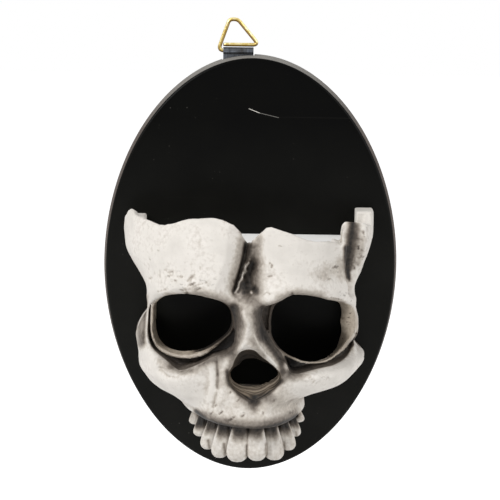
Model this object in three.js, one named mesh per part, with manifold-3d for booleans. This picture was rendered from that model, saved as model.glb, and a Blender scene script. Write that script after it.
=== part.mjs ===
import * as THREE from 'three';
import { mergeVertices } from 'three/addons/utils/BufferGeometryUtils.js';
import Module from 'manifold-3d';

// A wall candle holder: half a skull, broken open at the brow, on an oval plate with a ring to hang it by.
// Lengths are millimetres. X runs to the right, Y into the wall and Z up.
// The origin is the middle of the plate's rear face, and the skull looks along -Y.

// Back plate
const plateWidth = 100;
const plateHeight = 143;
const plateThickness = 7;
const plateEdgeDraft = 1.1;
const plateOutlinePower = 1.95;
const plateSides = 84;

// Skull: overall sizes. Angle shares run round it from its left edge (0) to its right edge (1),
// and height shares run from the gum line (0) to the highest lobe of the broken rim (1).
const skullHalfWidth = 42;
const skullDepth = 48;
const skullHeight = 69;
const skullTop = 22.3;
const skullWall = 3;
const skullThinWall = 1.8;
const skullColumns = 56;
const skullRows = 34;
const hollowColumns = 28;
const hollowRows = 12;
const columnCrowding = 0.35;

// Skull: height, left half width, right half width, depth, and how square the section is
const sectionShares = [
  [0.0, 0.483, 0.429, 0.952, 2.3],
  [0.077, 0.5, 0.443, 0.968, 2.3],
  [0.123, 0.586, 0.49, 0.97, 2.3],
  [0.152, 0.664, 0.59, 0.966, 2.3],
  [0.181, 0.743, 0.733, 0.961, 2.3],
  [0.217, 0.817, 0.819, 0.957, 2.3],
  [0.271, 0.862, 0.886, 0.952, 2.3],
  [0.329, 0.89, 0.9, 0.948, 2.35],
  [0.387, 0.905, 0.886, 0.948, 2.7],
  [0.474, 0.876, 0.862, 0.961, 2.9],
  [0.561, 0.838, 0.845, 0.991, 2.9],
  [0.626, 0.824, 0.819, 1.013, 2.7],
  [0.677, 0.862, 0.848, 1.009, 2.5],
  [0.726, 0.91, 0.89, 1.0, 2.35],
  [0.783, 0.967, 0.943, 0.996, 2.3],
  [0.848, 1.007, 0.979, 0.989, 2.25],
  [1.0, 1.0, 0.995, 0.98, 2.25],
];

// The broken rim: angle and height
const rimShares = [
  [0.0, 0.938], [0.07, 0.942], [0.1, 0.975], [0.15, 0.978], [0.231, 0.962], [0.279, 0.948],
  [0.307, 0.961], [0.349, 0.986], [0.397, 0.999], [0.442, 1.0], [0.465, 0.978], [0.476, 0.942],
  [0.49, 0.891], [0.505, 0.91], [0.516, 0.943], [0.538, 0.968], [0.554, 0.961], [0.588, 0.938],
  [0.623, 0.907], [0.661, 0.894], [0.702, 0.897], [0.718, 0.875], [0.73, 0.87], [0.742, 0.952],
  [0.781, 0.948], [0.888, 0.923], [0.922, 0.97], [1.0, 0.981],
];

// Forms raised on or sunk into the bone: a path of angle and height, with the lift and reach as
// shares of the skull's depth. A sharp form has straight sides, the others are rounded.
const formShares = [
  { name: 'left brow', lift: 0.035, reach: 0.085,
    path: [[0.173, 0.597], [0.277, 0.648], [0.34, 0.677], [0.403, 0.677], [0.452, 0.633]] },
  { name: 'right brow', lift: 0.035, reach: 0.085,
    path: [[0.824, 0.59], [0.713, 0.641], [0.644, 0.681], [0.59, 0.684], [0.548, 0.633]] },
  { name: 'nose bridge', lift: 0.085, reach: 0.085,
    path: [[0.505, 0.6], [0.51, 0.532], [0.513, 0.459], [0.513, 0.41]] },
  { name: 'left cheekbone', lift: 0.055, reach: 0.1,
    path: [[0.1, 0.38], [0.185, 0.37], [0.21, 0.293], [0.296, 0.235], [0.373, 0.257]] },
  { name: 'right cheekbone', lift: 0.055, reach: 0.1,
    path: [[0.9, 0.35], [0.828, 0.345], [0.8, 0.286], [0.703, 0.235], [0.627, 0.242]] },
  { name: 'left canine hollow', lift: -0.07, reach: 0.08, path: [[0.404, 0.257], [0.394, 0.155]] },
  { name: 'right canine hollow', lift: -0.07, reach: 0.08, path: [[0.611, 0.228], [0.613, 0.141]] },
  { name: 'gum swell', lift: 0.045, reach: 0.08,
    path: [[0.25, 0.06], [0.413, 0.05], [0.5, 0.045], [0.58, 0.05], [0.75, 0.06]] },
  { name: 'hollow under the nose', lift: -0.035, reach: 0.05, path: [[0.517, 0.155], [0.517, 0.12]] },
  { name: 'brow cleft', lift: -0.085, reach: 0.07, sharp: true,
    path: [[0.49, 0.93], [0.49, 0.822], [0.48, 0.743], [0.472, 0.697], [0.466, 0.65]] },
  { name: 'cleft valley', lift: -0.05, reach: 0.095,
    path: [[0.512, 0.93], [0.51, 0.8], [0.5, 0.7], [0.492, 0.635]] },
  { name: 'temple slot', lift: -0.1, reach: 0.06, sharp: true,
    path: [[0.766, 0.98], [0.766, 0.85], [0.768, 0.76], [0.784, 0.67]] },
  { name: 'slot edge', lift: 0.03, reach: 0.035,
    path: [[0.722, 0.86], [0.724, 0.78], [0.736, 0.72], [0.76, 0.66]] },
  { name: 'left lobe', lift: 0.035, reach: 0.24, path: [[0.36, 0.82], [0.4, 0.78]] },
  { name: 'right lobe', lift: 0.03, reach: 0.2, path: [[0.59, 0.8], [0.62, 0.78]] },
  { name: 'left temple', lift: -0.05, reach: 0.13, path: [[0.03, 0.56], [0.1, 0.58]] },
  { name: 'right temple', lift: -0.05, reach: 0.13, path: [[0.97, 0.56], [0.9, 0.58]] },
];

// Openings of the face: the centre as shares of the half width and the height, then the radii of the
// rim and of the smaller hole behind it, as shares of the half width, in even steps from the right round the top
const leftEye = {
  centreShares: [-0.448, 0.459],
  rimShares: [0.362, 0.371, 0.361, 0.322, 0.31, 0.32, 0.345, 0.352, 0.362, 0.378, 0.356, 0.324, 0.3, 0.282, 0.29, 0.345],
  holeShares: [0.31, 0.305, 0.303, 0.305, 0.312, 0.32, 0.31, 0.3, 0.285, 0.275, 0.252, 0.226, 0.21, 0.208, 0.235, 0.282],
  tubeDepth: 19,
};
const rightEye = {
  centreShares: [0.464, 0.452],
  rimShares: [0.345, 0.342, 0.305, 0.281, 0.288, 0.32, 0.352, 0.37, 0.357, 0.33, 0.31, 0.3, 0.298, 0.3, 0.33, 0.35],
  holeShares: [0.255, 0.275, 0.287, 0.28, 0.285, 0.296, 0.305, 0.31, 0.295, 0.275, 0.262, 0.25, 0.255, 0.262, 0.258, 0.252],
  tubeDepth: 19,
};
const nose = {
  centreShares: [0.045, 0.262],
  rimShares: [0.2, 0.185, 0.17, 0.18, 0.2, 0.195, 0.185, 0.195, 0.203, 0.195, 0.18, 0.18, 0.19, 0.188, 0.19, 0.2],
  holeShares: [0.19, 0.165, 0.13, 0.115, 0.106, 0.108, 0.12, 0.14, 0.185, 0.168, 0.13, 0.1, 0.092, 0.088, 0.1, 0.13],
  tubeDepth: 9,
};
const openingSides = 32;
const openingWall = 2;
const openingFlareShare = 1.08;
const openingSideDepth = 18;

// Teeth: the angle round the gum, and the drop and width as shares of the longest tooth's
const toothLength = 10.8;
const toothWidth = 7;
const toothThickness = 4.4;
const toothRoot = 3.5;
const toothSetback = 1.1;
const toothSides = 12;
const toothPower = 2.8;
const toothShares = [
  [0.232, 0.41, 0.78], [0.297, 0.65, 0.96], [0.363, 0.88, 1.0], [0.42, 0.97, 1.02], [0.473, 1.0, 1.04],
  [0.524, 0.93, 0.94], [0.572, 0.98, 0.96], [0.623, 0.76, 0.95], [0.682, 0.54, 0.92], [0.738, 0.23, 0.74],
];
// Along a tooth: how far down, and how wide it is there
const toothProfileShares = [[-0.35, 0.66], [0.0, 0.74], [0.3, 0.86], [0.6, 1.0], [0.82, 0.97], [0.94, 0.7], [1.0, 0.32]];

// Palate: the floor that closes the skull behind the teeth, hollowed from below
const palateThickness = 3.2;
const palateVault = 3;
const gumWidth = 7;

// Shelf that the candle stands on
const shelfDrop = 11;
const shelfThickness = 3;
const shelfBevel = 0.8;
const bondGap = 0.3;

// Lugs and bosses at the back of the skull, and the screws that go into them through the plate
const lugDepth = 8;
const screwShankRadius = 1.25;
const screwHeadRadius = 2.6;
const screwHeadHeight = 1.4;
const screwSink = 0.5;
const screwBite = 6;
const screwTip = 1;
const screwSides = 24;
const crossWidth = 0.7;
const crossLength = 2.6;
const crossDepth = 0.8;
const upperScrewSpread = 38.2;
const lugMargin = 3.1;
const lowerScrewSpread = 31.2;
const lowerScrewHeight = -28.5;
const bossRadius = 3.6;
const bossDepth = 9;

// Hanger: a strip rolled round the ring's lower run, its leaf nailed into a recess in the plate's back
const hangerOffset = -5;
const stripWidth = 10.2;
const stripThickness = 0.35;
const rollClearance = 0.2;
const leafLength = 14;
const leafSink = 0.9;
const rollSides = 20;
const rollOpenShare = 0.09;
const nailSpread = 5;
const nailShankRadius = 0.55;
const nailHeadRadius = 1.2;
const nailHeadThickness = 0.4;
const nailLength = 4;
const nailDropShare = 0.62;
const nailSides = 12;

// Ring: one length of wire bent to a triangle with a blunt top, which leans to the left
const wireRadius = 0.65;
const wireSides = 8;
const wireSteps = 56;
const ringWidth = 13.7;
const ringHeight = 10.5;
const ringTopWidth = 2.8;
const ringTopFlat = 0.3;
const ringTopShift = -1.7;
const ringCornerReach = 2.2;
const barLift = 0.2;
const wireEndGap = 0.8;

// What pieces keep between them, and how far a cutter runs past what it cuts
const clearance = 0.3;
const overrun = 5;

const wasm = await Module();
wasm.setup();

const plateFace = -plateThickness;
const skullBottom = skullTop - skullHeight;

// Makes a solid from a geometry whose shared vertices are merged, leaving out collapsed triangles
function solidFrom(geometry) {
  const bare = geometry.clone();
  bare.deleteAttribute('normal');
  bare.deleteAttribute('uv');
  const merged = mergeVertices(bare);
  const index = merged.index.array;
  const kept = [];
  for (let i = 0; i < index.length; i += 3) {
    const [a, b, c] = [index[i], index[i + 1], index[i + 2]];
    if (a !== b && b !== c && c !== a) {
      kept.push(a, b, c);
    }
  }
  return new wasm.Manifold(new wasm.Mesh({
    numProp: 3,
    vertProperties: new Float32Array(merged.attributes.position.array),
    triVerts: new Uint32Array(kept),
  }));
}

// Gives a solid back as a geometry
function geometryFrom(solid) {
  const mesh = solid.getMesh();
  const geometry = new THREE.BufferGeometry();
  geometry.setAttribute('position', new THREE.BufferAttribute(mesh.vertProperties, 3));
  geometry.setIndex(new THREE.BufferAttribute(mesh.triVerts, 1));
  geometry.computeVertexNormals();
  return geometry;
}

// The main body of a solid, without the crumbs and bubbles that thin cuts leave
function mainBody(solid) {
  return solid.decompose().reduce((most, body) => (body.volume() > most.volume() ? body : most));
}

// Joins rings of equal numbers of points into one closed skin, with a fan over each end
function loft(rings) {
  const count = rings[0].length;
  const points = rings.flat();
  const index = [];
  for (let r = 0; r + 1 < rings.length; r += 1) {
    for (let i = 0; i < count; i += 1) {
      const a = r * count + i;
      const b = r * count + ((i + 1) % count);
      index.push(a, b, b + count, a, b + count, a + count);
    }
  }
  for (const [ring, start, turned] of [[rings[0], 0, true], [rings.at(-1), points.length - count, false]]) {
    const centre = points.length;
    const middle = new THREE.Vector3();
    ring.forEach((p) => middle.addScaledVector(p, 1 / count));
    points.push(middle);
    for (let i = 0; i < count; i += 1) {
      const a = start + i;
      const b = start + ((i + 1) % count);
      index.push(...(turned ? [b, a, centre] : [a, b, centre]));
    }
  }
  let volume = 0;
  for (let i = 0; i < index.length; i += 3) {
    const [a, b, c] = index.slice(i, i + 3).map((k) => points[k]);
    volume += a.dot(b.clone().cross(c));
  }
  if (volume < 0) {
    index.reverse();
  }
  const geometry = new THREE.BufferGeometry();
  geometry.setAttribute('position', new THREE.Float32BufferAttribute(points.flatMap((p) => p.toArray()), 3));
  geometry.setIndex(index);
  return geometry;
}

// A cylinder along Y between two depths
function rod(radius, x, z, nearY, farY) {
  const geometry = new THREE.CylinderGeometry(radius, radius, farY - nearY, screwSides);
  return solidFrom(geometry.translate(x, (nearY + farY) / 2, z));
}

// A box between two corners
function block(low, high) {
  const size = high.map((v, i) => v - low[i]);
  const geometry = new THREE.BoxGeometry(...size);
  return solidFrom(geometry.translate(...low.map((v, i) => v + size[i] / 2)));
}

// A smooth curve through rows of shares, read at a place in their first column
function curveThrough(rows) {
  const places = rows.map((row) => row[0]);
  const values = rows.flatMap((row) => row.slice(1));
  const spline = new THREE.CubicInterpolant(places, values, rows[0].length - 1);
  return (place) => spline.evaluate(THREE.MathUtils.clamp(place, places[0], places.at(-1)));
}

const sectionAt = curveThrough(sectionShares);
const heightAt = (share) => skullBottom + share * skullHeight;
const shareAt = (z) => (z - skullBottom) / skullHeight;

// Straight lines between the points of the rim, because broken bone has corners
function rimAt(angle) {
  const next = Math.max(1, rimShares.findIndex((row) => row[0] >= angle));
  const [[a, low], [b, high]] = [rimShares[next - 1], rimShares[next]];
  return THREE.MathUtils.mapLinear(angle, a, b, low, high);
}

// The skull's section without its forms: a half superellipse standing on the plate
function smoothRadius(angle, height) {
  const [left, right, depth, power] = sectionAt(height);
  const across = Math.cos(angle * Math.PI);
  const out = Math.sin(angle * Math.PI);
  const width = (across > 0 ? left : right) * skullHalfWidth;
  return (Math.abs(across / width) ** power + (out / (depth * skullDepth)) ** power) ** (-1 / power);
}

// A cosine or sine bent so that the circle becomes a superellipse of the given power
function rounded(wave, power) {
  return Math.sign(wave) * Math.abs(wave) ** (2 / power);
}

function polarPoint(angle, radius, z) {
  return new THREE.Vector3(-radius * Math.cos(angle * Math.PI), plateFace - radius * Math.sin(angle * Math.PI), z);
}

const forms = formShares.map((form) => ({
  lift: form.lift * skullDepth,
  reach: form.reach * skullDepth,
  sharp: form.sharp === true,
  path: form.path.map(([angle, height]) => polarPoint(angle, smoothRadius(angle, height), heightAt(height))),
}));

// How far a place is from a path of straight pieces
function distanceToPath(place, path) {
  const nearest = new THREE.Vector3();
  const gaps = path.slice(1).map((end, i) => {
    new THREE.Line3(path[i], end).closestPointToPoint(place, true, nearest);
    return nearest.distanceTo(place);
  });
  return Math.min(...gaps);
}

// The skull's outer skin with its brows, bridge, cheekbones, clefts and hollows
function skinRadius(angle, height) {
  const smooth = smoothRadius(angle, height);
  const place = polarPoint(angle, smooth, heightAt(height));
  return forms.reduce((radius, form) => {
    const far = distanceToPath(place, form.path) / form.reach;
    const fall = form.sharp ? Math.max(0, 1 - far / 2) : Math.exp(-far * far);
    return radius + form.lift * fall;
  }, smooth);
}

// The hollow's skin: an even wall inside the smooth section, and a thinner one under the sunk forms
// that lie within one column of the hollow on either side
function hollowRadius(angle, height) {
  const nearby = [-1, -0.5, 0, 0.5, 1].map((step) => THREE.MathUtils.clamp(angle + step / hollowColumns, 0, 1));
  const skin = Math.min(...nearby.map((near) => skinRadius(near, height)));
  return Math.min(smoothRadius(angle, height) - skullWall, skin - skullThinWall);
}

// Angles round the skull, closer together across the face
function angles(columns) {
  return Array.from({ length: columns + 1 }, (_, i) => {
    const even = i / columns;
    return even + (columnCrowding * Math.sin(even * 2 * Math.PI)) / (2 * Math.PI);
  });
}

// Points along a level of the hollow, closed past the plate's face
function hollowRing(z, inset, columns) {
  const height = THREE.MathUtils.clamp(shareAt(z), 0, 1);
  const ring = angles(columns).map((angle) => polarPoint(angle, hollowRadius(angle, height) - inset, z));
  const back = (p) => new THREE.Vector3(p.x, plateFace + overrun, z);
  return [back(ring[0]), ...ring, back(ring.at(-1))];
}

function skullSkin() {
  const rings = [];
  for (let row = 0; row <= skullRows; row += 1) {
    rings.push(angles(skullColumns).map((angle) => {
      const height = rimAt(angle) * (row / skullRows);
      return polarPoint(angle, skinRadius(angle, height), heightAt(height));
    }));
  }
  return solidFrom(loft(rings));
}

function skullHollow() {
  const floor = skullBottom + palateVault + palateThickness;
  const rings = [];
  for (let row = 0; row <= hollowRows; row += 1) {
    const z = THREE.MathUtils.lerp(floor, skullTop, row / hollowRows);
    rings.push(hollowRing(z, 0, hollowColumns));
  }
  rings.push(rings.at(-1).map((p) => p.clone().setZ(skullTop + overrun)));
  return solidFrom(loft(rings));
}

// The roof of the mouth: an arch inside the row of teeth, open below
function palateHollow() {
  const level = (z) => angles(hollowColumns).map((angle) => {
    const point = polarPoint(angle, skinRadius(angle, 0) - gumWidth, z);
    return point.setY(Math.min(point.y, plateFace - skullWall));
  });
  return solidFrom(loft([level(skullBottom - overrun), level(skullBottom + palateVault)]));
}

// One ring of an opening, with its radii grown by a wall, at the depth that a function gives
function openingRing(centreShares, radiusShares, scale, wall, depthAt) {
  const count = radiusShares.length;
  const closed = [...radiusShares, radiusShares[0]].map((share, i) => [i / count, share]);
  const radiusAt = curveThrough([[-1 / count, radiusShares.at(-1)], ...closed, [1 + 1 / count, radiusShares[1]]]);
  const x0 = centreShares[0] * skullHalfWidth;
  const z0 = heightAt(centreShares[1]);
  return Array.from({ length: openingSides }, (_, i) => {
    const turn = i / openingSides;
    const radius = radiusAt(turn)[0] * skullHalfWidth * scale + wall;
    const x = x0 + radius * Math.cos(turn * 2 * Math.PI);
    const z = z0 + radius * Math.sin(turn * 2 * Math.PI);
    return new THREE.Vector3(x, depthAt(x, z), z);
  });
}

// Where the smooth skull's front lies at a place seen from ahead, and no nearer the plate than the eyes' outer rims
function frontY(x, z) {
  const [left, right, depth, power] = sectionAt(shareAt(z));
  const width = (x < 0 ? left : right) * skullHalfWidth;
  const rest = Math.max(0, 1 - Math.abs(x / width) ** power);
  return plateFace - Math.max(depth * skullDepth * rest ** (1 / power), openingSideDepth);
}

// The tube that lines an opening, and the space through it
function openingParts({ centreShares, rimShares: wide, holeShares: small, tubeDepth }) {
  const ring = (shares, scale, wall, shift) => (
    openingRing(centreShares, shares, scale, wall, (x, z) => frontY(x, z) + shift)
  );
  const liner = loft([
    ring(wide, openingFlareShare, openingWall, -overrun),
    ring(wide, 1, openingWall, 0),
    ring(small, 1, openingWall, tubeDepth),
  ]);
  const space = loft([
    ring(wide, openingFlareShare, 0, -overrun),
    ring(wide, 1, 0, 0),
    ring(small, 1, 0, tubeDepth),
    ring(small, 1, 0, tubeDepth + overrun),
  ]);
  return { liner: solidFrom(liner), space: solidFrom(space) };
}

// A tooth hangs from the gum: oval rings, narrow at the root, widest above the biting edge
function tooth([angle, dropShare, widthShare]) {
  const radius = skinRadius(angle, 0) - toothSetback - toothThickness / 2;
  const centre = polarPoint(angle, radius, skullBottom);
  const outward = polarPoint(angle, 1, 0).sub(polarPoint(angle, 0, 0));
  const along = new THREE.Vector3(-outward.y, outward.x, 0);
  const drop = toothLength * dropShare;
  const rings = toothProfileShares.map(([down, wide]) => {
    const z = down < 0 ? toothRoot : -down * drop;
    return Array.from({ length: toothSides }, (_, i) => {
      const turn = (i / toothSides) * 2 * Math.PI;
      const side = (rounded(Math.cos(turn), toothPower) * toothWidth * widthShare * wide) / 2;
      const out = (rounded(Math.sin(turn), toothPower) * toothThickness * wide) / 2;
      return centre.clone().addScaledVector(along, side).addScaledVector(outward, out).add(new THREE.Vector3(0, 0, z));
    });
  });
  return solidFrom(loft(rings));
}

// Shelf heights, and the lugs that stand on the plate just above it
const shelfTop = skullTop - shelfDrop;
const shelfBottom = shelfTop - shelfThickness;
const upperScrewHeight = shelfTop + clearance + lugMargin;
const screwPlaces = {
  skull_screw_upper_left: [-upperScrewSpread, upperScrewHeight],
  skull_screw_upper_right: [upperScrewSpread, upperScrewHeight],
  skull_screw_lower_left: [-lowerScrewSpread, lowerScrewHeight],
  skull_screw_lower_right: [lowerScrewSpread, lowerScrewHeight],
};

function lug(side) {
  const edge = polarPoint(side < 0 ? 0 : 1, smoothRadius(side < 0 ? 0 : 1, 1), 0).x - (side * skullWall) / 2;
  const inner = side * (upperScrewSpread - lugMargin);
  const top = heightAt(rimAt(side < 0 ? 0 : 1)) - clearance;
  return block(
    [Math.min(edge, inner), plateFace - lugDepth, shelfTop + clearance],
    [Math.max(edge, inner), plateFace, top],
  );
}

// A screw's outline turned round the Y axis, grown by a gap where it is the hole's shape
function screwSolid([x, z], gap, headY) {
  const tipY = -plateThickness - screwBite - gap;
  const neckY = -screwSink - screwHeadHeight - gap;
  const outline = [
    [0, tipY], [(screwShankRadius + gap) / 2, tipY], [screwShankRadius + gap, tipY + screwTip],
    [screwShankRadius + gap, neckY], [screwHeadRadius + gap, -screwSink], [screwHeadRadius + gap, headY], [0, headY],
  ].map(([r, y]) => new THREE.Vector2(r, y));
  const points = headY > -screwSink ? outline : outline.filter((_, i) => i !== 5);
  return solidFrom(new THREE.LatheGeometry(points, screwSides).translate(x, 0, z));
}

function screw(place) {
  const [x, z] = place;
  const cross = (width, height) => block(
    [x - width / 2, -screwSink - crossDepth, z - height / 2],
    [x + width / 2, overrun, z + height / 2],
  );
  return screwSolid(place, 0, -screwSink)
    .subtract(cross(crossWidth, crossLength))
    .subtract(cross(crossLength, crossWidth));
}

function skull() {
  const openings = [leftEye, rightEye, nose].map(openingParts);
  const skin = skullSkin();
  let body = skin.subtract(skullHollow());
  for (const { liner } of openings) {
    body = body.add(liner.intersect(skin));
  }
  for (const { space } of openings) {
    body = body.subtract(space);
  }
  body = body.subtract(palateHollow());
  for (const row of toothShares) {
    body = body.add(tooth(row));
  }
  body = body.add(lug(-1)).add(lug(1));
  for (const side of [-1, 1]) {
    body = body.add(rod(bossRadius, side * lowerScrewSpread, lowerScrewHeight, plateFace - bossDepth, plateFace));
  }
  for (const place of Object.values(screwPlaces)) {
    body = body.subtract(screwSolid(place, clearance, overrun));
  }
  return mainBody(body);
}

// The narrowest outline of the hollow over some levels, less the glue line and clear of the plate
function narrowestRing(levels) {
  const rings = levels.map((z) => hollowRing(z, bondGap, hollowColumns));
  return rings[0].map((_, i) => {
    const reach = (ring) => Math.hypot(ring[i].x, ring[i].y - plateFace);
    const point = rings.reduce((least, ring) => (reach(ring) < reach(least) ? ring : least))[i].clone();
    return point.setY(Math.min(point.y, plateFace - bondGap));
  });
}

// The shelf fills the hollow at its level. Its edge is bevelled back from the lugs and from the walls
// that lean in above, so that the flat top is open to the sky.
function shelf() {
  const above = Array.from({ length: hollowRows + 1 }, (_, i) => THREE.MathUtils.lerp(shelfTop, skullTop, i / hollowRows));
  const seatReach = upperScrewSpread - lugMargin - clearance;
  const base = narrowestRing([shelfBottom, shelfTop]);
  const seat = narrowestRing([shelfBottom, ...above]);
  seat.forEach((p) => p.setX(THREE.MathUtils.clamp(p.x, -seatReach, seatReach)));
  const at = (ring, z) => ring.map((p) => p.clone().setZ(z));
  return solidFrom(loft([at(base, shelfBottom), at(base, shelfTop - shelfBevel), at(seat, shelfTop)]));
}

// Half the plate's height at a place across it
function plateEdgeHeight(x) {
  const share = Math.abs(x) / (plateWidth / 2);
  return (plateHeight / 2) * (1 - share ** plateOutlinePower) ** (1 / plateOutlinePower);
}

function plateRing(inset, y) {
  return Array.from({ length: plateSides }, (_, i) => {
    const turn = (i / plateSides) * 2 * Math.PI;
    return new THREE.Vector3(
      rounded(Math.cos(turn), plateOutlinePower) * (plateWidth / 2 - inset),
      y,
      rounded(Math.sin(turn), plateOutlinePower) * (plateHeight / 2 - inset),
    );
  });
}

// Hanger places: the roll lies on the plate's top edge, and its leaf in the back
const rollInner = wireRadius + rollClearance;
const rollOuter = rollInner + stripThickness;
const rollY = -leafSink - rollOuter;
const rollZ = plateEdgeHeight(hangerOffset) + rollOuter + stripThickness;
const leafBottom = rollZ - leafLength;
const nailZ = rollZ - leafLength * nailDropShare;
const nailPlaces = {
  strap_nail_left: [hangerOffset - nailSpread / 2, nailZ],
  strap_nail_right: [hangerOffset + nailSpread / 2, nailZ],
};

function nail([x, z], gap) {
  const headY = -leafSink + nailHeadThickness;
  const underHead = -leafSink + gap / 2;
  const outline = gap > 0
    ? [[0, underHead - nailLength], [nailShankRadius + gap, underHead - nailLength], [nailShankRadius + gap, overrun],
      [0, overrun]]
    : [[0, -leafSink - nailLength + clearance], [nailShankRadius, -leafSink - nailLength + 2 * clearance],
      [nailShankRadius, -leafSink], [nailHeadRadius, -leafSink], [nailHeadRadius, headY - nailHeadThickness / 2],
      [nailHeadRadius / 2, headY], [0, headY]];
  const points = outline.map(([r, y]) => new THREE.Vector2(r, y));
  return solidFrom(new THREE.LatheGeometry(points, nailSides).translate(x, 0, z));
}

// The strip's edge-on outline in Y and Z: a leaf, then a roll that all but closes on it
function strapShape() {
  const shape = new THREE.Shape();
  const end = 2 * Math.PI * (1 - rollOpenShare);
  const at = (radius, turn) => [rollY + radius * Math.cos(turn), rollZ + radius * Math.sin(turn)];
  shape.moveTo(-leafSink, leafBottom);
  shape.lineTo(-leafSink, rollZ);
  for (let i = 1; i <= rollSides; i += 1) {
    shape.lineTo(...at(rollOuter, (end * i) / rollSides));
  }
  for (let i = rollSides; i >= 0; i -= 1) {
    shape.lineTo(...at(rollInner, (end * i) / rollSides));
  }
  shape.lineTo(-leafSink - stripThickness, leafBottom);
  return shape;
}

function strap() {
  const geometry = new THREE.ExtrudeGeometry(strapShape(), { depth: stripWidth, bevelEnabled: false });
  geometry.applyMatrix4(new THREE.Matrix4().makeBasis(
    new THREE.Vector3(0, 1, 0), new THREE.Vector3(0, 0, 1), new THREE.Vector3(1, 0, 0),
  ));
  let body = solidFrom(geometry.translate(hangerOffset - stripWidth / 2, 0, 0));
  for (const [x, z] of Object.values(nailPlaces)) {
    body = body.subtract(rod(nailShankRadius + clearance, x, z, -leafSink - overrun, overrun));
  }
  return body;
}

function plate() {
  let body = solidFrom(loft([plateRing(0, 0), plateRing(plateEdgeDraft, plateFace)]));
  const left = hangerOffset - stripWidth / 2 - clearance;
  const right = hangerOffset + stripWidth / 2 + clearance;
  const leafPocket = block(
    [left, -leafSink - stripThickness - clearance, leafBottom - clearance],
    [right, overrun, rollZ + overrun],
  );
  const rollNotch = block(
    [left, rollY - rollOuter - clearance, rollZ - rollOuter - clearance],
    [right, overrun, rollZ + overrun],
  );
  body = body.subtract(leafPocket).subtract(rollNotch);
  for (const place of Object.values(nailPlaces)) {
    body = body.subtract(nail(place, clearance));
  }
  for (const place of Object.values(screwPlaces)) {
    body = body.subtract(screwSolid(place, clearance, overrun));
  }
  return body;
}

// The wire starts inside the roll, runs out to the left, up over the top, down, and back over the roll
function ringPath() {
  const left = hangerOffset - ringWidth / 2;
  const right = hangerOffset + ringWidth / 2;
  const barZ = rollZ + rollOuter + wireRadius + barLift;
  const start = new THREE.Vector3(hangerOffset + stripWidth / 2 - wireEndGap, rollY, rollZ);
  const top = hangerOffset + ringTopShift;
  const topReach = (ringTopWidth - ringTopFlat) / 2;
  const corners = [
    [left, rollZ, ringCornerReach],
    [top - ringTopWidth / 2, rollZ + ringHeight, topReach],
    [top + ringTopWidth / 2, rollZ + ringHeight, topReach],
    [right, barZ, ringCornerReach],
  ].map(([x, z, reach]) => ({ place: new THREE.Vector3(x, rollY, z), reach }));
  const finish = new THREE.Vector3(hangerOffset - stripWidth / 2, rollY, barZ);
  const path = new THREE.CurvePath();
  let from = start;
  corners.forEach(({ place: corner, reach }, i) => {
    const next = corners[i + 1]?.place ?? finish;
    const before = corner.clone().add(from.clone().sub(corner).setLength(reach));
    const after = corner.clone().add(next.clone().sub(corner).setLength(reach));
    path.add(new THREE.LineCurve3(from, before));
    path.add(new THREE.QuadraticBezierCurve3(before, corner, after));
    from = after;
  });
  path.add(new THREE.LineCurve3(from, finish));
  return path;
}

function ringGeometry() {
  const section = new THREE.Shape();
  section.absarc(0, 0, wireRadius, 0, 2 * Math.PI);
  return new THREE.ExtrudeGeometry(section, {
    steps: wireSteps, curveSegments: wireSides / 2, extrudePath: ringPath(), bevelEnabled: false,
  });
}

// Finishes
const finishes = {
  blackLacquer: new THREE.MeshStandardMaterial({ color: 0x151412, roughness: 0.35, metalness: 0 }),
  boneResin: new THREE.MeshStandardMaterial({ color: 0xe4dfd8, roughness: 0.6, metalness: 0 }),
  shelfResin: new THREE.MeshStandardMaterial({ color: 0xeceae6, roughness: 0.6, metalness: 0 }),
  brassWire: new THREE.MeshStandardMaterial({ color: 0xb08d4c, roughness: 0.3, metalness: 1 }),
  steelStrip: new THREE.MeshStandardMaterial({ color: 0x8d9094, roughness: 0.4, metalness: 1 }),
  zincSteel: new THREE.MeshStandardMaterial({ color: 0xa9abad, roughness: 0.35, metalness: 1 }),
};

const holder = new THREE.Group();

function addPiece(name, geometry, material) {
  const mesh = new THREE.Mesh(geometry, material);
  mesh.name = name;
  holder.add(mesh);
}

addPiece('back_plate', geometryFrom(plate()), finishes.blackLacquer);
addPiece('skull_casting', geometryFrom(skull()), finishes.boneResin);
addPiece('candle_shelf', geometryFrom(shelf()), finishes.shelfResin);
for (const [name, place] of Object.entries(screwPlaces)) {
  addPiece(name, geometryFrom(screw(place)), finishes.zincSteel);
}
addPiece('hanger_strap', geometryFrom(strap()), finishes.steelStrip);
for (const [name, place] of Object.entries(nailPlaces)) {
  addPiece(name, geometryFrom(nail(place, 0)), finishes.zincSteel);
}
addPiece('hanger_ring', ringGeometry(), finishes.brassWire);

export default holder;
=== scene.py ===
import bpy
import numpy as np
from mathutils import Matrix, Vector


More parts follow.
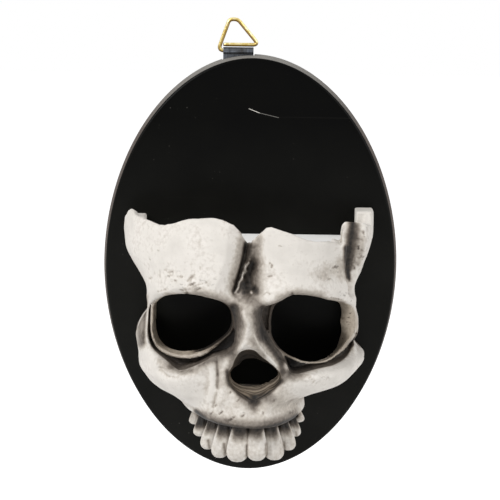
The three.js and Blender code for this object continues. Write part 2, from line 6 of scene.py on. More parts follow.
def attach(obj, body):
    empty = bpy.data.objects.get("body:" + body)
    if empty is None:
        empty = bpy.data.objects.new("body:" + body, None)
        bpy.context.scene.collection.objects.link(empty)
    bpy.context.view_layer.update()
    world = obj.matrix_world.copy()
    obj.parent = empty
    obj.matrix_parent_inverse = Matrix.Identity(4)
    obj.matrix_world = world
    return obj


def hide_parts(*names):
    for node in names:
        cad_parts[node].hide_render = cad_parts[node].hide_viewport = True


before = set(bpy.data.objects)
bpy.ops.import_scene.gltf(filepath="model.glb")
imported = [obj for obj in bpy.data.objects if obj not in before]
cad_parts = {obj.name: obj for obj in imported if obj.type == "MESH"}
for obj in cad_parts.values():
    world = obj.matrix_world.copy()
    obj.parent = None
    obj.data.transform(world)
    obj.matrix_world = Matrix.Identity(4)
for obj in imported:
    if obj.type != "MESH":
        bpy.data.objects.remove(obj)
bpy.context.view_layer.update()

# ---------------------------------------------------------------------------
# The photographer's camera, which looks down on the plate's middle by nine degrees from 700 mm away and is
# turned a little. It comes first because marks on the bone are placed by the pixel they show at.
# Lengths in this script are millimetres until a mesh is made.
# ---------------------------------------------------------------------------
MM = 0.001
camera_tilt = np.radians(9.0)
camera_roll = np.radians(0.8)
camera_distance = 700.0
pixels_per_mm = 2.92
middle_pixel = (250.3, 263.4)
frame_pixels = 500
sensor_mm = 36.0

look = np.array([0.0, np.cos(camera_tilt), -np.sin(camera_tilt)])
level_right = np.array([1.0, 0.0, 0.0])
level_up = np.cross(level_right, look)
frame_right = level_right * np.cos(camera_roll) + level_up * np.sin(camera_roll)
frame_up = level_up * np.cos(camera_roll) - level_right * np.sin(camera_roll)


def seen_at(points):
    """Pixels at which points show: their offset along the frame's right and up, in proportion to the camera's
    distance over their own depth, in pixels from the plate's middle."""
    scale = pixels_per_mm * camera_distance / (camera_distance + points @ look)
    return np.stack([middle_pixel[0] + points @ frame_right * scale, middle_pixel[1] - points @ frame_up * scale], -1)


eye_point = -camera_distance * look
off_middle = (frame_pixels / 2 - np.array(middle_pixel)) / pixels_per_mm
aim = frame_right * off_middle[0] - frame_up * off_middle[1]
back_axis = (eye_point - aim) / np.linalg.norm(eye_point - aim)
side_axis = np.cross(frame_up, back_axis)
side_axis /= np.linalg.norm(side_axis)
scene = bpy.context.scene
camera_data = bpy.data.cameras.new("camera")
camera_data.sensor_width = sensor_mm
camera_data.lens = sensor_mm * camera_distance * pixels_per_mm / frame_pixels
camera_data.clip_start = 0.01
camera = bpy.data.objects.new("camera", camera_data)
camera.matrix_world = Matrix.Translation(Vector(eye_point * MM)) @ Matrix(
    np.stack([side_axis, np.cross(back_axis, side_axis), back_axis], 1).tolist()).to_4x4()
scene.collection.objects.link(camera)
scene.camera = camera

# ---------------------------------------------------------------------------
# The skull: half a skull with a broken open brow, cast hollow in resin, painted matt bone white, washed dark and
# given painted shade in its hollows.
# Each level is half an oval that stands on the plate's face, and the skin is a radius for every turn round it and
# every height. On it stand the brows, bridge and cheekbones, and the clefts are sunk into it.
# ---------------------------------------------------------------------------
plate_face = -7.0
gum_height = -46.7
bone_height = 69.0

# height, left half width, right half width, depth, how square
levels = np.array([
    (-46.7, 20.6, 18.3, 45.7, 2.3), (-43.5, 21.6, 18.2, 46.2, 2.3), (-41.4, 23.2, 18.1, 46.5, 2.3),
    (-40.0, 26.2, 18.5, 46.6, 2.3), (-38.2, 29.9, 21.4, 46.6, 2.3), (-36.4, 33.6, 27.2, 46.5, 2.3),
    (-34.4, 35.7, 34.0, 46.2, 2.3), (-31.7, 37.4, 37.4, 45.9, 2.3), (-28.5, 37.6, 39.0, 45.7, 2.3),
    (-26.0, 37.9, 36.8, 45.6, 2.3), (-23.0, 38.1, 35.2, 45.5, 2.35), (-20.0, 37.8, 36.2, 45.5, 2.6),
    (-17.0, 36.5, 36.4, 45.8, 2.8), (-14.0, 35.0, 36.1, 46.1, 2.9), (-8.0, 34.4, 35.6, 47.6, 2.9),
    (-3.5, 34.8, 35.3, 48.6, 2.7), (0.0, 37.1, 37.0, 48.4, 2.5), (3.4, 39.7, 38.0, 48.0, 2.35),
    (7.3, 41.7, 39.6, 47.8, 2.3), (11.8, 42.4, 41.0, 47.5, 2.25), (17.0, 42.4, 41.2, 47.2, 2.25),
    (22.3, 42.0, 40.6, 47.0, 2.25)])


def curve_through(rows, place):
    """A cubic through each row's values, with its slope at a row the mean slope of its neighbours."""
    x, y = rows[:, 0], rows[:, 1:]
    slope = np.gradient(y, x, axis=0)
    place = np.clip(place, x[0], x[-1])
    i = np.clip(np.searchsorted(x, place) - 1, 0, len(x) - 2)
    width = (x[i + 1] - x[i])[..., None]
    t = (place - x[i])[..., None] / width
    return ((1 + 2 * t) * (1 - t) ** 2 * y[i] + t * (1 - t) ** 2 * width * slope[i]
            + t ** 2 * (3 - 2 * t) * y[i + 1] - t ** 2 * (1 - t) * width * slope[i + 1])


def oval_radius(turn, z):
    """Distance from the middle of the plate's face to the plain oval: one over the power mean of the sine and
    cosine over the half width and depth at that level. Turn runs from 0 at the left edge to 1 at the right."""
    left, right, depth, power = np.moveaxis(curve_through(levels, z), -1, 0)
    across, out = np.cos(turn * np.pi), np.sin(turn * np.pi)
    width = np.where(across > 0, left, right)
    return (np.abs(across / width) ** power + np.abs(out / depth) ** power) ** (-1 / power)


def standing(turn, z, radius):
    """Points at a turn, height and distance from the middle of the plate's face."""
    return np.stack([-radius * np.cos(turn * np.pi), plate_face - radius * np.sin(turn * np.pi),
                     np.broadcast_to(z, radius.shape)], -1)


def distance_to_path(points, path):
    """Least distance to the straight pieces of a path: each point is dropped on a piece and held within its ends."""
    least = np.full(points.shape[:-1], np.inf)
    for start, end in zip(path[:-1], path[1:]):
        run = end - start
        share = np.clip((points - start) @ run / (run @ run), 0, 1)
        least = np.minimum(least, np.linalg.norm(points - start - share[..., None] * run, axis=-1))
    return least


def soft_noise(places, spacing, seed):
    """Smooth random values from -1 to 1: a seeded table of random numbers, 64 each way, read between its points with
    eased weights and repeated beyond its ends."""
    table = np.random.default_rng(seed).uniform(-1, 1, (64,) * places.shape[-1])
    scaled = places / spacing
    low = np.floor(scaled).astype(int)
    part = scaled - low
    part = part * part * (3 - 2 * part)
    value = np.zeros(places.shape[:-1])
    for corner in np.ndindex(*(2,) * places.shape[-1]):
        weight = np.prod(np.where(np.array(corner) == 1, part, 1 - part), -1)
        value += weight * table[tuple(np.moveaxis((low + corner) % 64, -1, 0))]
    return value


skin_turns = np.linspace(0, 1, 721)
skin_heights = np.linspace(-50, 25, 451)
turn_grid, height_grid = np.meshgrid(skin_turns, skin_heights, indexing="ij")
plain_radius = oval_radius(turn_grid, height_grid)
skin_places = standing(turn_grid, height_grid, plain_radius)
skin_pixels = seen_at(skin_places)

# Forms by turn and share of the height: lift, reach, whether sharp, path
broad_forms = [
    (1.7, 4.1, False, [(0.173, 0.597), (0.277, 0.648), (0.34, 0.677), (0.403, 0.677), (0.452, 0.633)]),
    (1.7, 4.1, False, [(0.824, 0.59), (0.713, 0.641), (0.644, 0.681), (0.59, 0.684), (0.548, 0.633)]),
    (4.4, 3.7, False, [(0.499, 0.6), (0.498, 0.532), (0.499, 0.459), (0.504, 0.41)]),
    (2.6, 4.8, False, [(0.1, 0.38), (0.185, 0.37), (0.21, 0.293), (0.296, 0.235), (0.373, 0.257)]),
    (2.6, 4.8, False, [(0.9, 0.35), (0.828, 0.345), (0.8, 0.286), (0.703, 0.235), (0.627, 0.242)]),
    (-1.2, 3.8, False, [(0.404, 0.257), (0.394, 0.155)]),
    (-1.9, 4.2, False, [(0.611, 0.228), (0.613, 0.141)]),
    (2.2, 3.8, False, [(0.25, 0.06), (0.413, 0.05), (0.5, 0.045), (0.58, 0.05), (0.75, 0.06)]),
    (-1.7, 2.4, False, [(0.517, 0.155), (0.517, 0.12)]),
    (-3.6, 3.0, True, [(0.49, 0.93), (0.49, 0.822), (0.48, 0.743), (0.472, 0.697), (0.466, 0.65)]),
    (-2.4, 4.6, False, [(0.512, 0.93), (0.51, 0.8), (0.5, 0.7), (0.492, 0.635)]),
    (-6.0, 3.1, True, [(0.772, 0.98), (0.77, 0.85), (0.77, 0.76), (0.784, 0.67)]),
    (1.4, 1.7, False, [(0.722, 0.86), (0.724, 0.78), (0.736, 0.72), (0.76, 0.66)]),
    (1.7, 11.5, False, [(0.36, 0.82), (0.4, 0.78)]),
    (1.4, 9.6, False, [(0.59, 0.8), (0.62, 0.78)]),
    (-2.0, 4.6, False, [(0.03, 0.54), (0.1, 0.55)]),
    (-1.0, 4.6, False, [(0.97, 0.54), (0.9, 0.55)]),
]
skin_radius = plain_radius.copy()
for lift, reach, sharp, path in broad_forms:
    turns, shares = np.array(path).T
    heights = gum_height + shares * bone_height
    far = distance_to_path(skin_places, standing(turns, heights, oval_radius(turns, heights))) / reach
    fade = np.clip(np.minimum(turn_grid, 1 - turn_grid) / 0.2 - 0.35, 0, 1) if lift > 0 else 1.0
    skin_radius += lift * fade * (np.maximum(0, 1 - far / 2) if sharp else np.exp(-far * far))

# Finer marks by the pixels they show at: lift, half width in pixels, path
fine_forms = [
    # the cleft's steep left wall, its jagged crest, the hollow beside it and the bead at its foot
    (-2.2, 2.8, [(247.5, 241), (245.3, 250), (242.5, 261), (239, 274), (234, 291.5)]),
    (2.0, 1.5, [(249.4, 262), (247.8, 265), (244.8, 268), (246, 271.4), (241.6, 275.5), (242.4, 279), (238.2, 283),
                (238.2, 288), (235, 292.5)]), (-2.0, 5.0, [(253, 266), (248.5, 277), (250.5, 290)]),
    (-1.2, 1.4, [(247.6, 268), (245.4, 273), (243.6, 278)]), (0.9, 1.1, [(251, 292), (251.6, 293)]),
    (-0.5, 1.2, [(240, 234), (243, 238.5), (246, 241.5)]),
    # a fold over the right brow
    (0.35, 0.9, [(261.5, 295), (271, 291.2), (283.8, 285)]),
    # the nose's sides, the tear ducts and the cheeks' creases
    (-3.0, 6.0, [(233, 311), (234, 326), (232, 341)]), (-3.4, 6.0, [(263, 311), (266, 328), (273, 343), (283, 358)]),
    (0.8, 2.2, [(243, 312), (248.5, 326), (246, 339), (239, 351)]),
    (0.6, 1.2, [(254, 334.5), (259.3, 345.3), (267, 355.6), (276.5, 366)]),
    (1.0, 2.6, [(268, 346), (276, 356), (285, 367)]), (-2.2, 3.4, [(172, 362), (181, 366.5), (190, 364)]),
    (-0.6, 1.0, [(163, 366), (172, 369), (180, 372.5), (188, 367)]),
    (-0.6, 1.5, [(216.5, 360), (217.6, 376), (217, 388)]), (-0.35, 1.2, [(216.4, 394), (214.6, 400), (213, 407)]),
    (0.5, 2.6, [(211, 366), (212, 384), (209, 400)]), (0.5, 2.4, [(223, 372), (223.5, 390), (221, 402)]),
    (-0.8, 2.2, [(164, 369), (172, 375), (181, 376)]), (-1.0, 5.0, [(253, 399), (253.5, 406)]),
    # the slot at the right temple, which narrows downwards, and the horn of bone behind it
    (-2.2, 3.2, [(353, 224), (350.5, 245), (349.5, 262), (348.6, 280)]),
    (0.8, 3.0, [(366, 226), (364, 245), (359, 265)]),
]
# Nicks and scratches by the pixels they show at: strength of the wash and painted shade in them, half width in
# pixels, path
nicks = [
    (0.2, 0.8, [(171, 275.4), (172.2, 275.4)]), (0.35, 0.7, [(180, 275.9), (181.4, 275.5)]),
    (0.35, 0.7, [(184.4, 276.4), (185.4, 275.8)]), (0.45, 0.8, [(174.6, 280.2), (176.2, 280.4)]),
    (0.4, 0.7, [(151, 278), (151.5, 278)]), (0.3, 0.9, [(190.6, 280.3), (192.5, 277.4), (194.5, 274.6)]),
    (0.6, 0.9, [(190.8, 285), (194.6, 282.8)]), (0.1, 0.8, [(208.2, 281), (210.5, 285)]),
    (0.3, 1.2, [(185, 289), (187.4, 293)]), (0.8, 1.1, [(187, 293), (188, 295)]),
    (0.3, 0.9, [(190, 293.6), (190.7, 296)]), (0.1, 0.7, [(161.6, 291), (166, 289.2), (170.7, 288)]),
    (0.15, 0.7, [(182.6, 287.6), (186, 289.4), (190, 289)]), (0.15, 0.9, [(192, 289.5), (194, 286.6), (198, 285)]),
    (0.12, 0.9, [(199, 289), (203, 287), (206, 288)]), (0.1, 0.8, [(200, 283.6), (205, 283)]),
    (0.1, 0.7, [(166.2, 269.6), (168, 270)]), (0.08, 0.7, [(170, 272), (175, 271)]),
    (0.05, 0.6, [(202, 265.5), (202.3, 269)]), (0.15, 0.7, [(159.3, 250.5), (160, 250.6)]),
    (0.1, 0.6, [(150, 259), (151, 259.6)]), (0.5, 0.8, [(239.5, 231.5), (243.4, 236.4)]),
    (0.45, 0.8, [(233.2, 281), (235.6, 285)]), (0.3, 0.8, [(270, 263.2), (272.4, 265.4), (271.6, 267.4)]),
    (0.12, 0.6, [(261.4, 265), (263.4, 264.2)]), (0.15, 0.7, [(268.2, 276.8), (271.4, 275.8)]),
    (0.1, 0.6, [(278, 245.6), (281.4, 246.4)]), (0.2, 0.7, [(263.5, 294.6), (266.5, 292.4), (269.5, 293.4)]),
    (0.8, 0.9, [(292, 298), (292.4, 293.4)]), (0.45, 0.9, [(229, 420), (231.5, 419), (234.5, 416.7)]),
    (0.4, 0.8, [(219.8, 413.5), (222.5, 411.5)]), (0.4, 0.8, [(241.8, 416.2), (244, 414.8)]),
    (0.2, 0.7, [(211, 414), (213, 411.5)]), (0.25, 0.7, [(215, 406.5), (216.5, 404.5)]),
    (0.45, 0.9, [(230.4, 392.6), (231, 391.5)]), (0.2, 0.7, [(237, 401.5), (239.5, 398.5)]),
    (0.3, 0.8, [(273, 402), (274.5, 400.5)]), (0.3, 0.8, [(262.8, 413.5), (263.4, 412.5)]),
    (0.3, 0.8, [(287.6, 412.3), (290, 411.2), (290.4, 412.6)]), (0.2, 0.7, [(304, 377), (308, 374.5)]),
    (0.2, 0.7, [(322, 377.5), (324, 376.5)]), (0.25, 0.8, [(309, 378), (310, 377)]),
    (0.1, 0.7, [(332, 268), (335, 266)]), (0.1, 0.6, [(326, 279), (329, 278)]),
    (0.15, 0.6, [(346, 292.5), (349, 294)]), (0.3, 0.7, [(312, 383), (315, 380)]),
    (0.35, 0.6, [(331, 297.4), (339, 299)]),
    # pits in the horn of bone at the right
    (0.45, 0.8, [(363, 231.5), (363.8, 234)]), (0.95, 0.9, [(358, 246), (358.6, 248.6)]),
    (0.35, 0.8, [(361.4, 250), (363, 251)]), (0.4, 0.8, [(360.4, 254), (361.6, 256)]),
    (0.35, 0.8, [(358.4, 258), (361, 257)]), (0.45, 0.8, [(354.8, 258.5), (354.4, 262)]),
    (0.7, 0.7, [(354, 266), (354.6, 268.4)]), (0.4, 0.8, [(351.4, 263.6), (352.6, 265.4)]),
    (0.3, 0.7, [(357, 262.5), (358, 265)]), (0.3, 0.6, [(361.6, 239), (362.4, 240)]),
]
fine_forms += [(-0.5, wide, path) for strength, wide, path in nicks]
skin_facing = np.clip((-skin_places[..., 1] + plate_face) / 12.0, 0, 1)
for lift, wide, path in fine_forms:
    far = distance_to_path(skin_pixels, np.array(path, float)) / wide
    skin_radius += lift * np.exp(-far * far) * skin_facing

# The bone's own unevenness
skin_radius += 0.28 * soft_noise(skin_places, 7.0, 3) + 0.12 * soft_noise(skin_places, 2.6, 5)
rough_bone = 0.0
for wide, path in ((12, [(165, 276), (190, 286), (210, 284)]), (5, [(246, 262), (238, 286)])):
    rough_bone += np.exp(-(distance_to_path(skin_pixels, np.array(path, float)) / wide) ** 2)
skin_radius += (0.05 + 0.25 * np.clip(rough_bone, 0, 1)) * soft_noise(skin_places, 1.3, 8)


def spread_least(table, rows, columns):
    """The least value within a few rows and columns of each place."""
    for axis, reach in ((0, rows), (1, columns)):
        shifted = [np.roll(table, step, axis) for step in range(-reach, reach + 1)]
        table = np.min(shifted, axis=0)
    return table


def blurred(table, rows, columns):
    """The mean over a few rows and columns, taken twice so that its edges fade."""
    for _ in range(2):
        for axis, reach in ((0, rows), (1, columns)):
            padded = np.pad(table, [(reach + 1, reach) if a == axis else (0, 0) for a in (0, 1)], mode="edge")
            total = np.cumsum(padded, axis)
            ahead = np.take(total, range(2 * reach + 1, total.shape[axis]), axis)
            table = (ahead - np.take(total, range(0, total.shape[axis] - 2 * reach - 1), axis)) / (2 * reach + 1)
    return table


# The hollow keeps a wall inside the plain oval, and one under the skin's low places
bone_wall = 3.0
thin_wall = 1.8
hollow_floor = gum_height + 6.2
hollow_radius = blurred(np.minimum(plain_radius - bone_wall, spread_least(skin_radius, 10, 8) - thin_wall), 4, 4)
skin_cavity = blurred(skin_radius, 6, 6) - skin_radius


def read_map(table, turn, z):
    """A map's value between its four nearest places."""
    i = np.clip(turn, 0, 1) * (len(skin_turns) - 1)
    j = np.clip((z - skin_heights[0]) / (skin_heights[-1] - skin_heights[0]), 0, 1) * (len(skin_heights) - 1)
    a, b = np.minimum(i.astype(int), len(skin_turns) - 2), np.minimum(j.astype(int), len(skin_heights) - 2)
    s, t = i - a, j - b
    return ((table[a, b] * (1 - s) + table[a + 1, b] * s) * (1 - t)
            + (table[a, b + 1] * (1 - s) + table[a + 1, b + 1] * s) * t)


# The broken rim by turn and share of the height
rim_shares = np.array([
    (0.0, 0.925), (0.05, 0.94), (0.07, 0.952), (0.1, 0.972), (0.125, 0.988), (0.14, 0.99), (0.15, 0.984),
    (0.16, 0.975), (0.174, 0.97), (0.2, 0.969), (0.231, 0.963), (0.25, 0.96), (0.263, 0.956), (0.279, 0.951),
    (0.299, 0.953), (0.307, 0.959), (0.324, 0.966), (0.344, 0.982), (0.362, 0.994), (0.385, 0.999), (0.411, 1.005),
    (0.426, 1.003), (0.437, 0.998), (0.446, 0.991), (0.454, 0.982), (0.462, 0.974), (0.471, 0.95), (0.478, 0.925),
    (0.483, 0.906), (0.488, 0.887), (0.493, 0.877), (0.499, 0.885), (0.504, 0.896), (0.511, 0.909), (0.519, 0.925),
    (0.528, 0.945), (0.535, 0.963), (0.546, 0.967), (0.554, 0.961), (0.588, 0.938), (0.605, 0.922), (0.623, 0.907),
    (0.64, 0.899), (0.661, 0.894), (0.676, 0.899), (0.684, 0.897), (0.692, 0.965), (0.7, 0.972), (0.73, 0.972),
    (0.76, 0.966), (0.782, 0.958), (0.8, 0.953), (0.818, 0.948), (0.86, 0.932), (0.888, 0.923), (0.9, 0.945),
    (0.912, 0.968), (0.93, 0.972), (0.96, 0.978), (1.0, 0.972)])


def front_depth(x, z):
    """How far the plain oval's front stands off the plate at a place seen from ahead, at least 18 mm at the sides."""
    left, right, depth, power = np.moveaxis(curve_through(levels, z), -1, 0)
    share = np.abs(x / np.where(x < 0, left, right)) ** power
    return np.maximum(depth * np.clip(1 - share, 0, None) ** (1 / power), 18.0)


def eased(low, high, value):
    """0 below low, 1 above high, and an S between."""
    t = np.clip((value - low) / (high - low), 0, 1)
    return t * t * (3 - 2 * t)


def rounded_max(a, b, radius):
    """The larger of two fields, with the corner where they meet rounded off."""
    gap = np.maximum(radius - np.abs(a - b), 0) / radius
    return np.maximum(a, b) + gap * gap * radius / 4


def round_value(table, turn):
    """A closed table's value at a share of a whole turn, straight between its even steps."""
    return np.interp(np.mod(turn, 1.0), np.arange(len(table) + 1) / len(table), np.append(table, table[0]))


def at_depth(pixel_x, pixel_y, depth):
    """Where the line of sight through a pixel meets the plane at a distance off the wall."""
    pixel_x, pixel_y, depth = (np.asarray(v, float)[..., None] for v in (pixel_x, pixel_y, depth))
    ray = (look * camera_distance + frame_right * (pixel_x - middle_pixel[0]) / pixels_per_mm
           - frame_up * (pixel_y - middle_pixel[1]) / pixels_per_mm)
    return eye_point + ray * (-depth - eye_point[1]) / ray[..., 1:2]


outline_steps = 256
smoothed_steps = 2.5


def outline_radii(centre, set_back, pixels):
    """An outline that is given by pixels, as radii round a centre in even steps. Each pixel's line of sight is
    followed to the face's front and on by the set back of that direction, and the radii are smoothed with a bell
    curve a few steps wide."""
    pixels = np.array(pixels, float)
    depth = np.full(len(pixels), 48.0)
    for _ in range(6):
        place = at_depth(pixels[:, 0], pixels[:, 1], depth)
        off_x, off_z = place[:, 0] - centre[0], place[:, 2] - centre[1]
        turn = np.arctan2(off_z, off_x) / (2 * np.pi)
        depth = front_depth(place[:, 0], place[:, 2]) - plate_face - round_value(set_back, turn)
    order = np.argsort(np.mod(turn, 1.0))
    step = np.arange(outline_steps)
    radii = np.interp(step / outline_steps, np.mod(turn, 1.0)[order], np.hypot(off_x, off_z)[order], period=1.0)
    kernel = np.exp(-np.minimum(step, outline_steps - step) ** 2 / (2 * smoothed_steps ** 2))
    return np.real(np.fft.ifft(np.fft.fft(radii) * np.fft.fft(kernel / kernel.sum())))


# Each opening has a margin in the face, a ring that stands behind it with a groove between, and a hole where the
# ring ends. Depths behind the face go by direction in eight steps: right, up and right, up, and so on round.
# The eyes' rings are flush with the brow and deep beside the nose; the nose has no ring.
openings = {}
for name, centre, ring_front, groove_end, hole_depth, round_edge, margin, ring_outer, ring_inner, hole in [
    ("left_eye", (-19.0, -15.0), (6.5, 3.0, 1.2, 1.5, 2.6, 4.0, 4.6, 6.0),
     (8.0, 4.0, 2.0, 2.5, 6.0, 9.0, 11.0, 8.5), 14.0, (2.6, 2.4, 1.8, 1.2, 0.7, 0.8, 0.9, 1.6),
     [(151, 304), (149.3, 312), (148.3, 322), (148, 332), (149, 340), (152, 347.5), (157.5, 353.5), (164, 358.5),
      (170, 363.5), (175, 368), (180, 371.5), (187, 368.5), (196, 365.5), (205, 361), (212, 357), (221, 354.5),
      (229, 352.3), (233.6, 346), (234.4, 335), (234, 325), (232.8, 316), (229.6, 308.5), (222, 302.5), (213, 299),
      (205, 297.3), (197, 295.8), (190, 294.8), (178, 294.8), (165, 296.3), (157, 299.5)],
     [(152.8, 304), (152, 312), (151.6, 322), (151.6, 331), (152.5, 338), (155, 346.5), (159.5, 351), (164.5, 354.3),
      (174, 357.6), (186, 358.9), (195.5, 358.2), (204.5, 355.8), (212, 350.5), (219.5, 344.5), (226, 338.5),
      (230.5, 333.5), (232.8, 328), (233.5, 320), (231.2, 309.6), (222, 302.6), (205, 296.9), (190, 294.4),
      (165, 296.4), (157, 300.5)],
     [(154, 305), (153.3, 313), (153, 322), (153, 331), (154, 337.5), (157, 344), (162, 348.5), (167, 351),
      (175, 353.2), (188, 354), (198, 352.8), (208, 348), (217, 342), (225, 336.3), (230, 331), (232, 326),
      (232.6, 319), (231, 309), (222, 302.1), (205, 296.5), (190, 294), (165, 296), (157.7, 301.3)],
     [(157, 301), (156.8, 312), (156.5, 322), (157.3, 331), (159.5, 338), (164.5, 344.5), (170, 347.6), (176, 349.2),
      (190, 349.9), (200, 348.5), (208.5, 345), (219, 338.5), (226, 333), (230.3, 328), (231.8, 320), (229.5, 308),
      (221, 301), (205, 295.5), (190, 293.2), (165, 295.2)]),
    ("right_eye", (19.5, -15.5), (1.5, 1.2, 1.2, 3.0, 6.5, 7.0, 6.0, 3.5),
     (2.5, 2.0, 2.0, 4.0, 8.0, 11.0, 12.0, 9.0), 14.0, (0.8, 1.0, 1.8, 2.2, 1.8, 0.9, 0.8, 0.7),
     [(350, 304.3), (354.5, 309), (356.2, 316), (357, 325), (356.6, 334), (355.4, 341), (352.2, 348), (347, 356.4),
      (337, 363.6), (325, 367), (316.5, 368.8), (309, 371), (303, 373), (296, 374.3), (290.5, 374), (287.5, 365),
      (282, 355.5), (272.5, 343.5), (267, 334), (263, 324), (261.8, 316), (263, 310), (265.7, 307.4), (278.2, 302.6),
      (285, 299), (291.4, 295.8), (298, 296.2), (315.5, 298.8), (328, 300.6), (339.5, 302.3)],
     [(351.5, 305), (355.4, 311), (356.8, 318), (357, 326), (356.4, 333), (354.2, 338.4), (349, 345.4), (343.4, 351),
      (335.4, 356.5), (327.4, 361.4), (319.4, 362.9), (311.3, 362.6), (305, 361.8), (294, 358.8), (281.5, 352),
      (273.2, 343), (270, 335.5), (269.6, 325), (270, 315), (271, 306), (281, 299), (291, 292.5), (300, 293),
      (315, 295.5), (328, 299), (341, 302)],
     [(350.5, 306), (354.5, 311.5), (355.9, 318), (356.1, 326), (354.2, 332.5), (350.8, 337), (345.4, 343.4),
      (340.4, 349), (334, 354.6), (326.3, 359.4), (319, 361.1), (311.3, 361.2), (306, 361), (295, 357.6),
      (282.8, 350.8), (274.4, 341.8), (271.2, 334.5), (270.8, 325), (271.2, 316), (272.5, 307), (282, 300),
      (291.5, 293.5), (300, 294), (315, 296.5), (328, 300), (340.5, 303.2)],
     [(339.3, 304), (338.7, 322.3), (338.7, 338.9), (337, 346.4), (332, 352.2), (324.6, 357.1), (316.3, 360.3),
      (306.4, 361), (296, 357.3), (283.5, 350.3), (275.2, 341.2), (272.2, 334), (271.8, 325), (272.3, 316),
      (274.5, 306), (283, 299.5), (292, 294), (300, 294), (315, 296.5), (328, 298)]),
    ("nose", (2.0, -28.0), (0.8,) * 8, (0.8,) * 8, 6.5, (1.2, 0.9, 0.8, 0.9, 1.2, 1.2, 1.2, 1.2),
     [(244, 350.2), (250, 349.3), (255, 350.5), (259.5, 355), (264, 359), (270, 363.8), (276, 369), (280.3, 374),
      (281, 380), (277, 387), (270, 392.5), (262, 397), (254, 400.5), (247, 398.8), (240, 394.5), (234, 389),
      (229.5, 382), (228, 375), (229.8, 370.5), (233, 366.5), (235.5, 358.5), (239.5, 352.5)],
     None, None,
     [(231, 371.5), (235, 367.5), (241.3, 364.6), (244, 361.3), (252.9, 360.2), (263.6, 362), (271, 365.5),
      (276.5, 369.5), (278, 373.5), (275.5, 377), (265.4, 381), (252.9, 383.2), (242, 383.7), (235, 381),
      (231, 376.5)]),
]:
    at_margin = outline_radii(centre, np.full(8, 0.5), margin)
    at_ring = outline_radii(centre, np.array(ring_front), ring_outer) if ring_outer else at_margin + 0.05
    in_ring = outline_radii(centre, np.array(ring_front), ring_inner) if ring_inner else at_margin - 0.1
    at_hole = outline_radii(centre, np.full(8, hole_depth - 0.5), hole)
    openings[name] = dict(centre=centre, ring_front=np.array(ring_front), groove_end=np.array(groove_end),
                          hole_depth=hole_depth, round_edge=np.array(round_edge), margin=at_margin,
                          ring_outer=np.maximum(at_ring, in_ring + 1.0), ring_inner=in_ring, hole=at_hole)


def opening_place(name, x, y, z):
    """Where points lie in an opening: the direction as a share of a turn, the distance from its centre line, and the
    depth behind the plain oval's front."""
    x0, z0 = openings[name]["centre"]
    return np.arctan2(z - z0, x - x0) / (2 * np.pi), np.hypot(x - x0, z - z0), y - plate_face + front_depth(x, z)


def opening_fields(name, x, y, z):
    """Fields of an opening's space and of the resin that lines it. The space is the margin's outline down to the
    ring, the groove between ring and margin, and the bore, which narrows evenly from the ring to the hole."""
    o = openings[name]
    turn, away, depth = opening_place(name, x, y, z)
    margin, outer, inner, hole, front, groove = (round_value(o[k], turn) for k in (
        "margin", "ring_outer", "ring_inner", "hole", "ring_front", "groove_end"))
    margin = margin + 0.35 * np.clip(-depth, 0, 8)
    bore = inner + (hole - inner) * np.clip((depth - front) / (o["hole_depth"] - front), 0, 1)
    # ripples 2.3 mm apart, a fine unevenness, and the widening behind the hole
    ripple = {"left_eye": 0.2, "right_eye": 0.0, "nose": 0.25}[name]
    waves = np.sin(depth * 2 * np.pi / 2.3 + 9 * turn) * eased(front + 0.5, front + 2, depth)
    bore = bore + ripple * waves * (depth < o["hole_depth"])
    bore = bore + 0.12 * soft_noise(np.stack([x, y, z], -1), 2.2, 21)
    bore = bore + 4.0 * eased(o["hole_depth"] + 0.3, o["hole_depth"] + 5, depth)
    entry = np.maximum(away - margin, depth - front)
    trench = np.maximum(np.maximum(away - margin, outer - away), depth - groove)
    space = np.minimum(np.minimum(entry, trench), away - bore) - 0.1
    lining = np.minimum(np.maximum(away - outer - 0.2, depth - o["hole_depth"]),
                        np.maximum(away - margin - 1.5, depth - np.maximum(groove, 4.0) - 1.6))
    rounding = 0.6 + (round_value(o["round_edge"], turn) - 0.6) * (1 - eased(1.5, 4.0, depth))
    return space * 0.85, lining, rounding


gum_thickness, mouth_height, mouth_off_plate = 7.0, 3.0, 3.0
# Height and x of the broken edge left of the slot at the right temple
broken_edge_marks = np.array([(12.4, 29.3), (14.2, 29.5), (16.6, 29.5), (18.0, 29.6), (18.9, 30.3), (19.8, 31.2),
                              (21.5, 31.8)])
# The lugs' side, middle, half width and top, and how low and how far off the plate they reach
lug_marks = ((-1, 38.4, 3.2, 17.9), (1, 37.9, 2.9, 20.8))
lug_bottom, lug_depth = 11.9, 10.5
boss_place, boss_radius, boss_depth = (31.2, -28.5), 2.4, 7.5


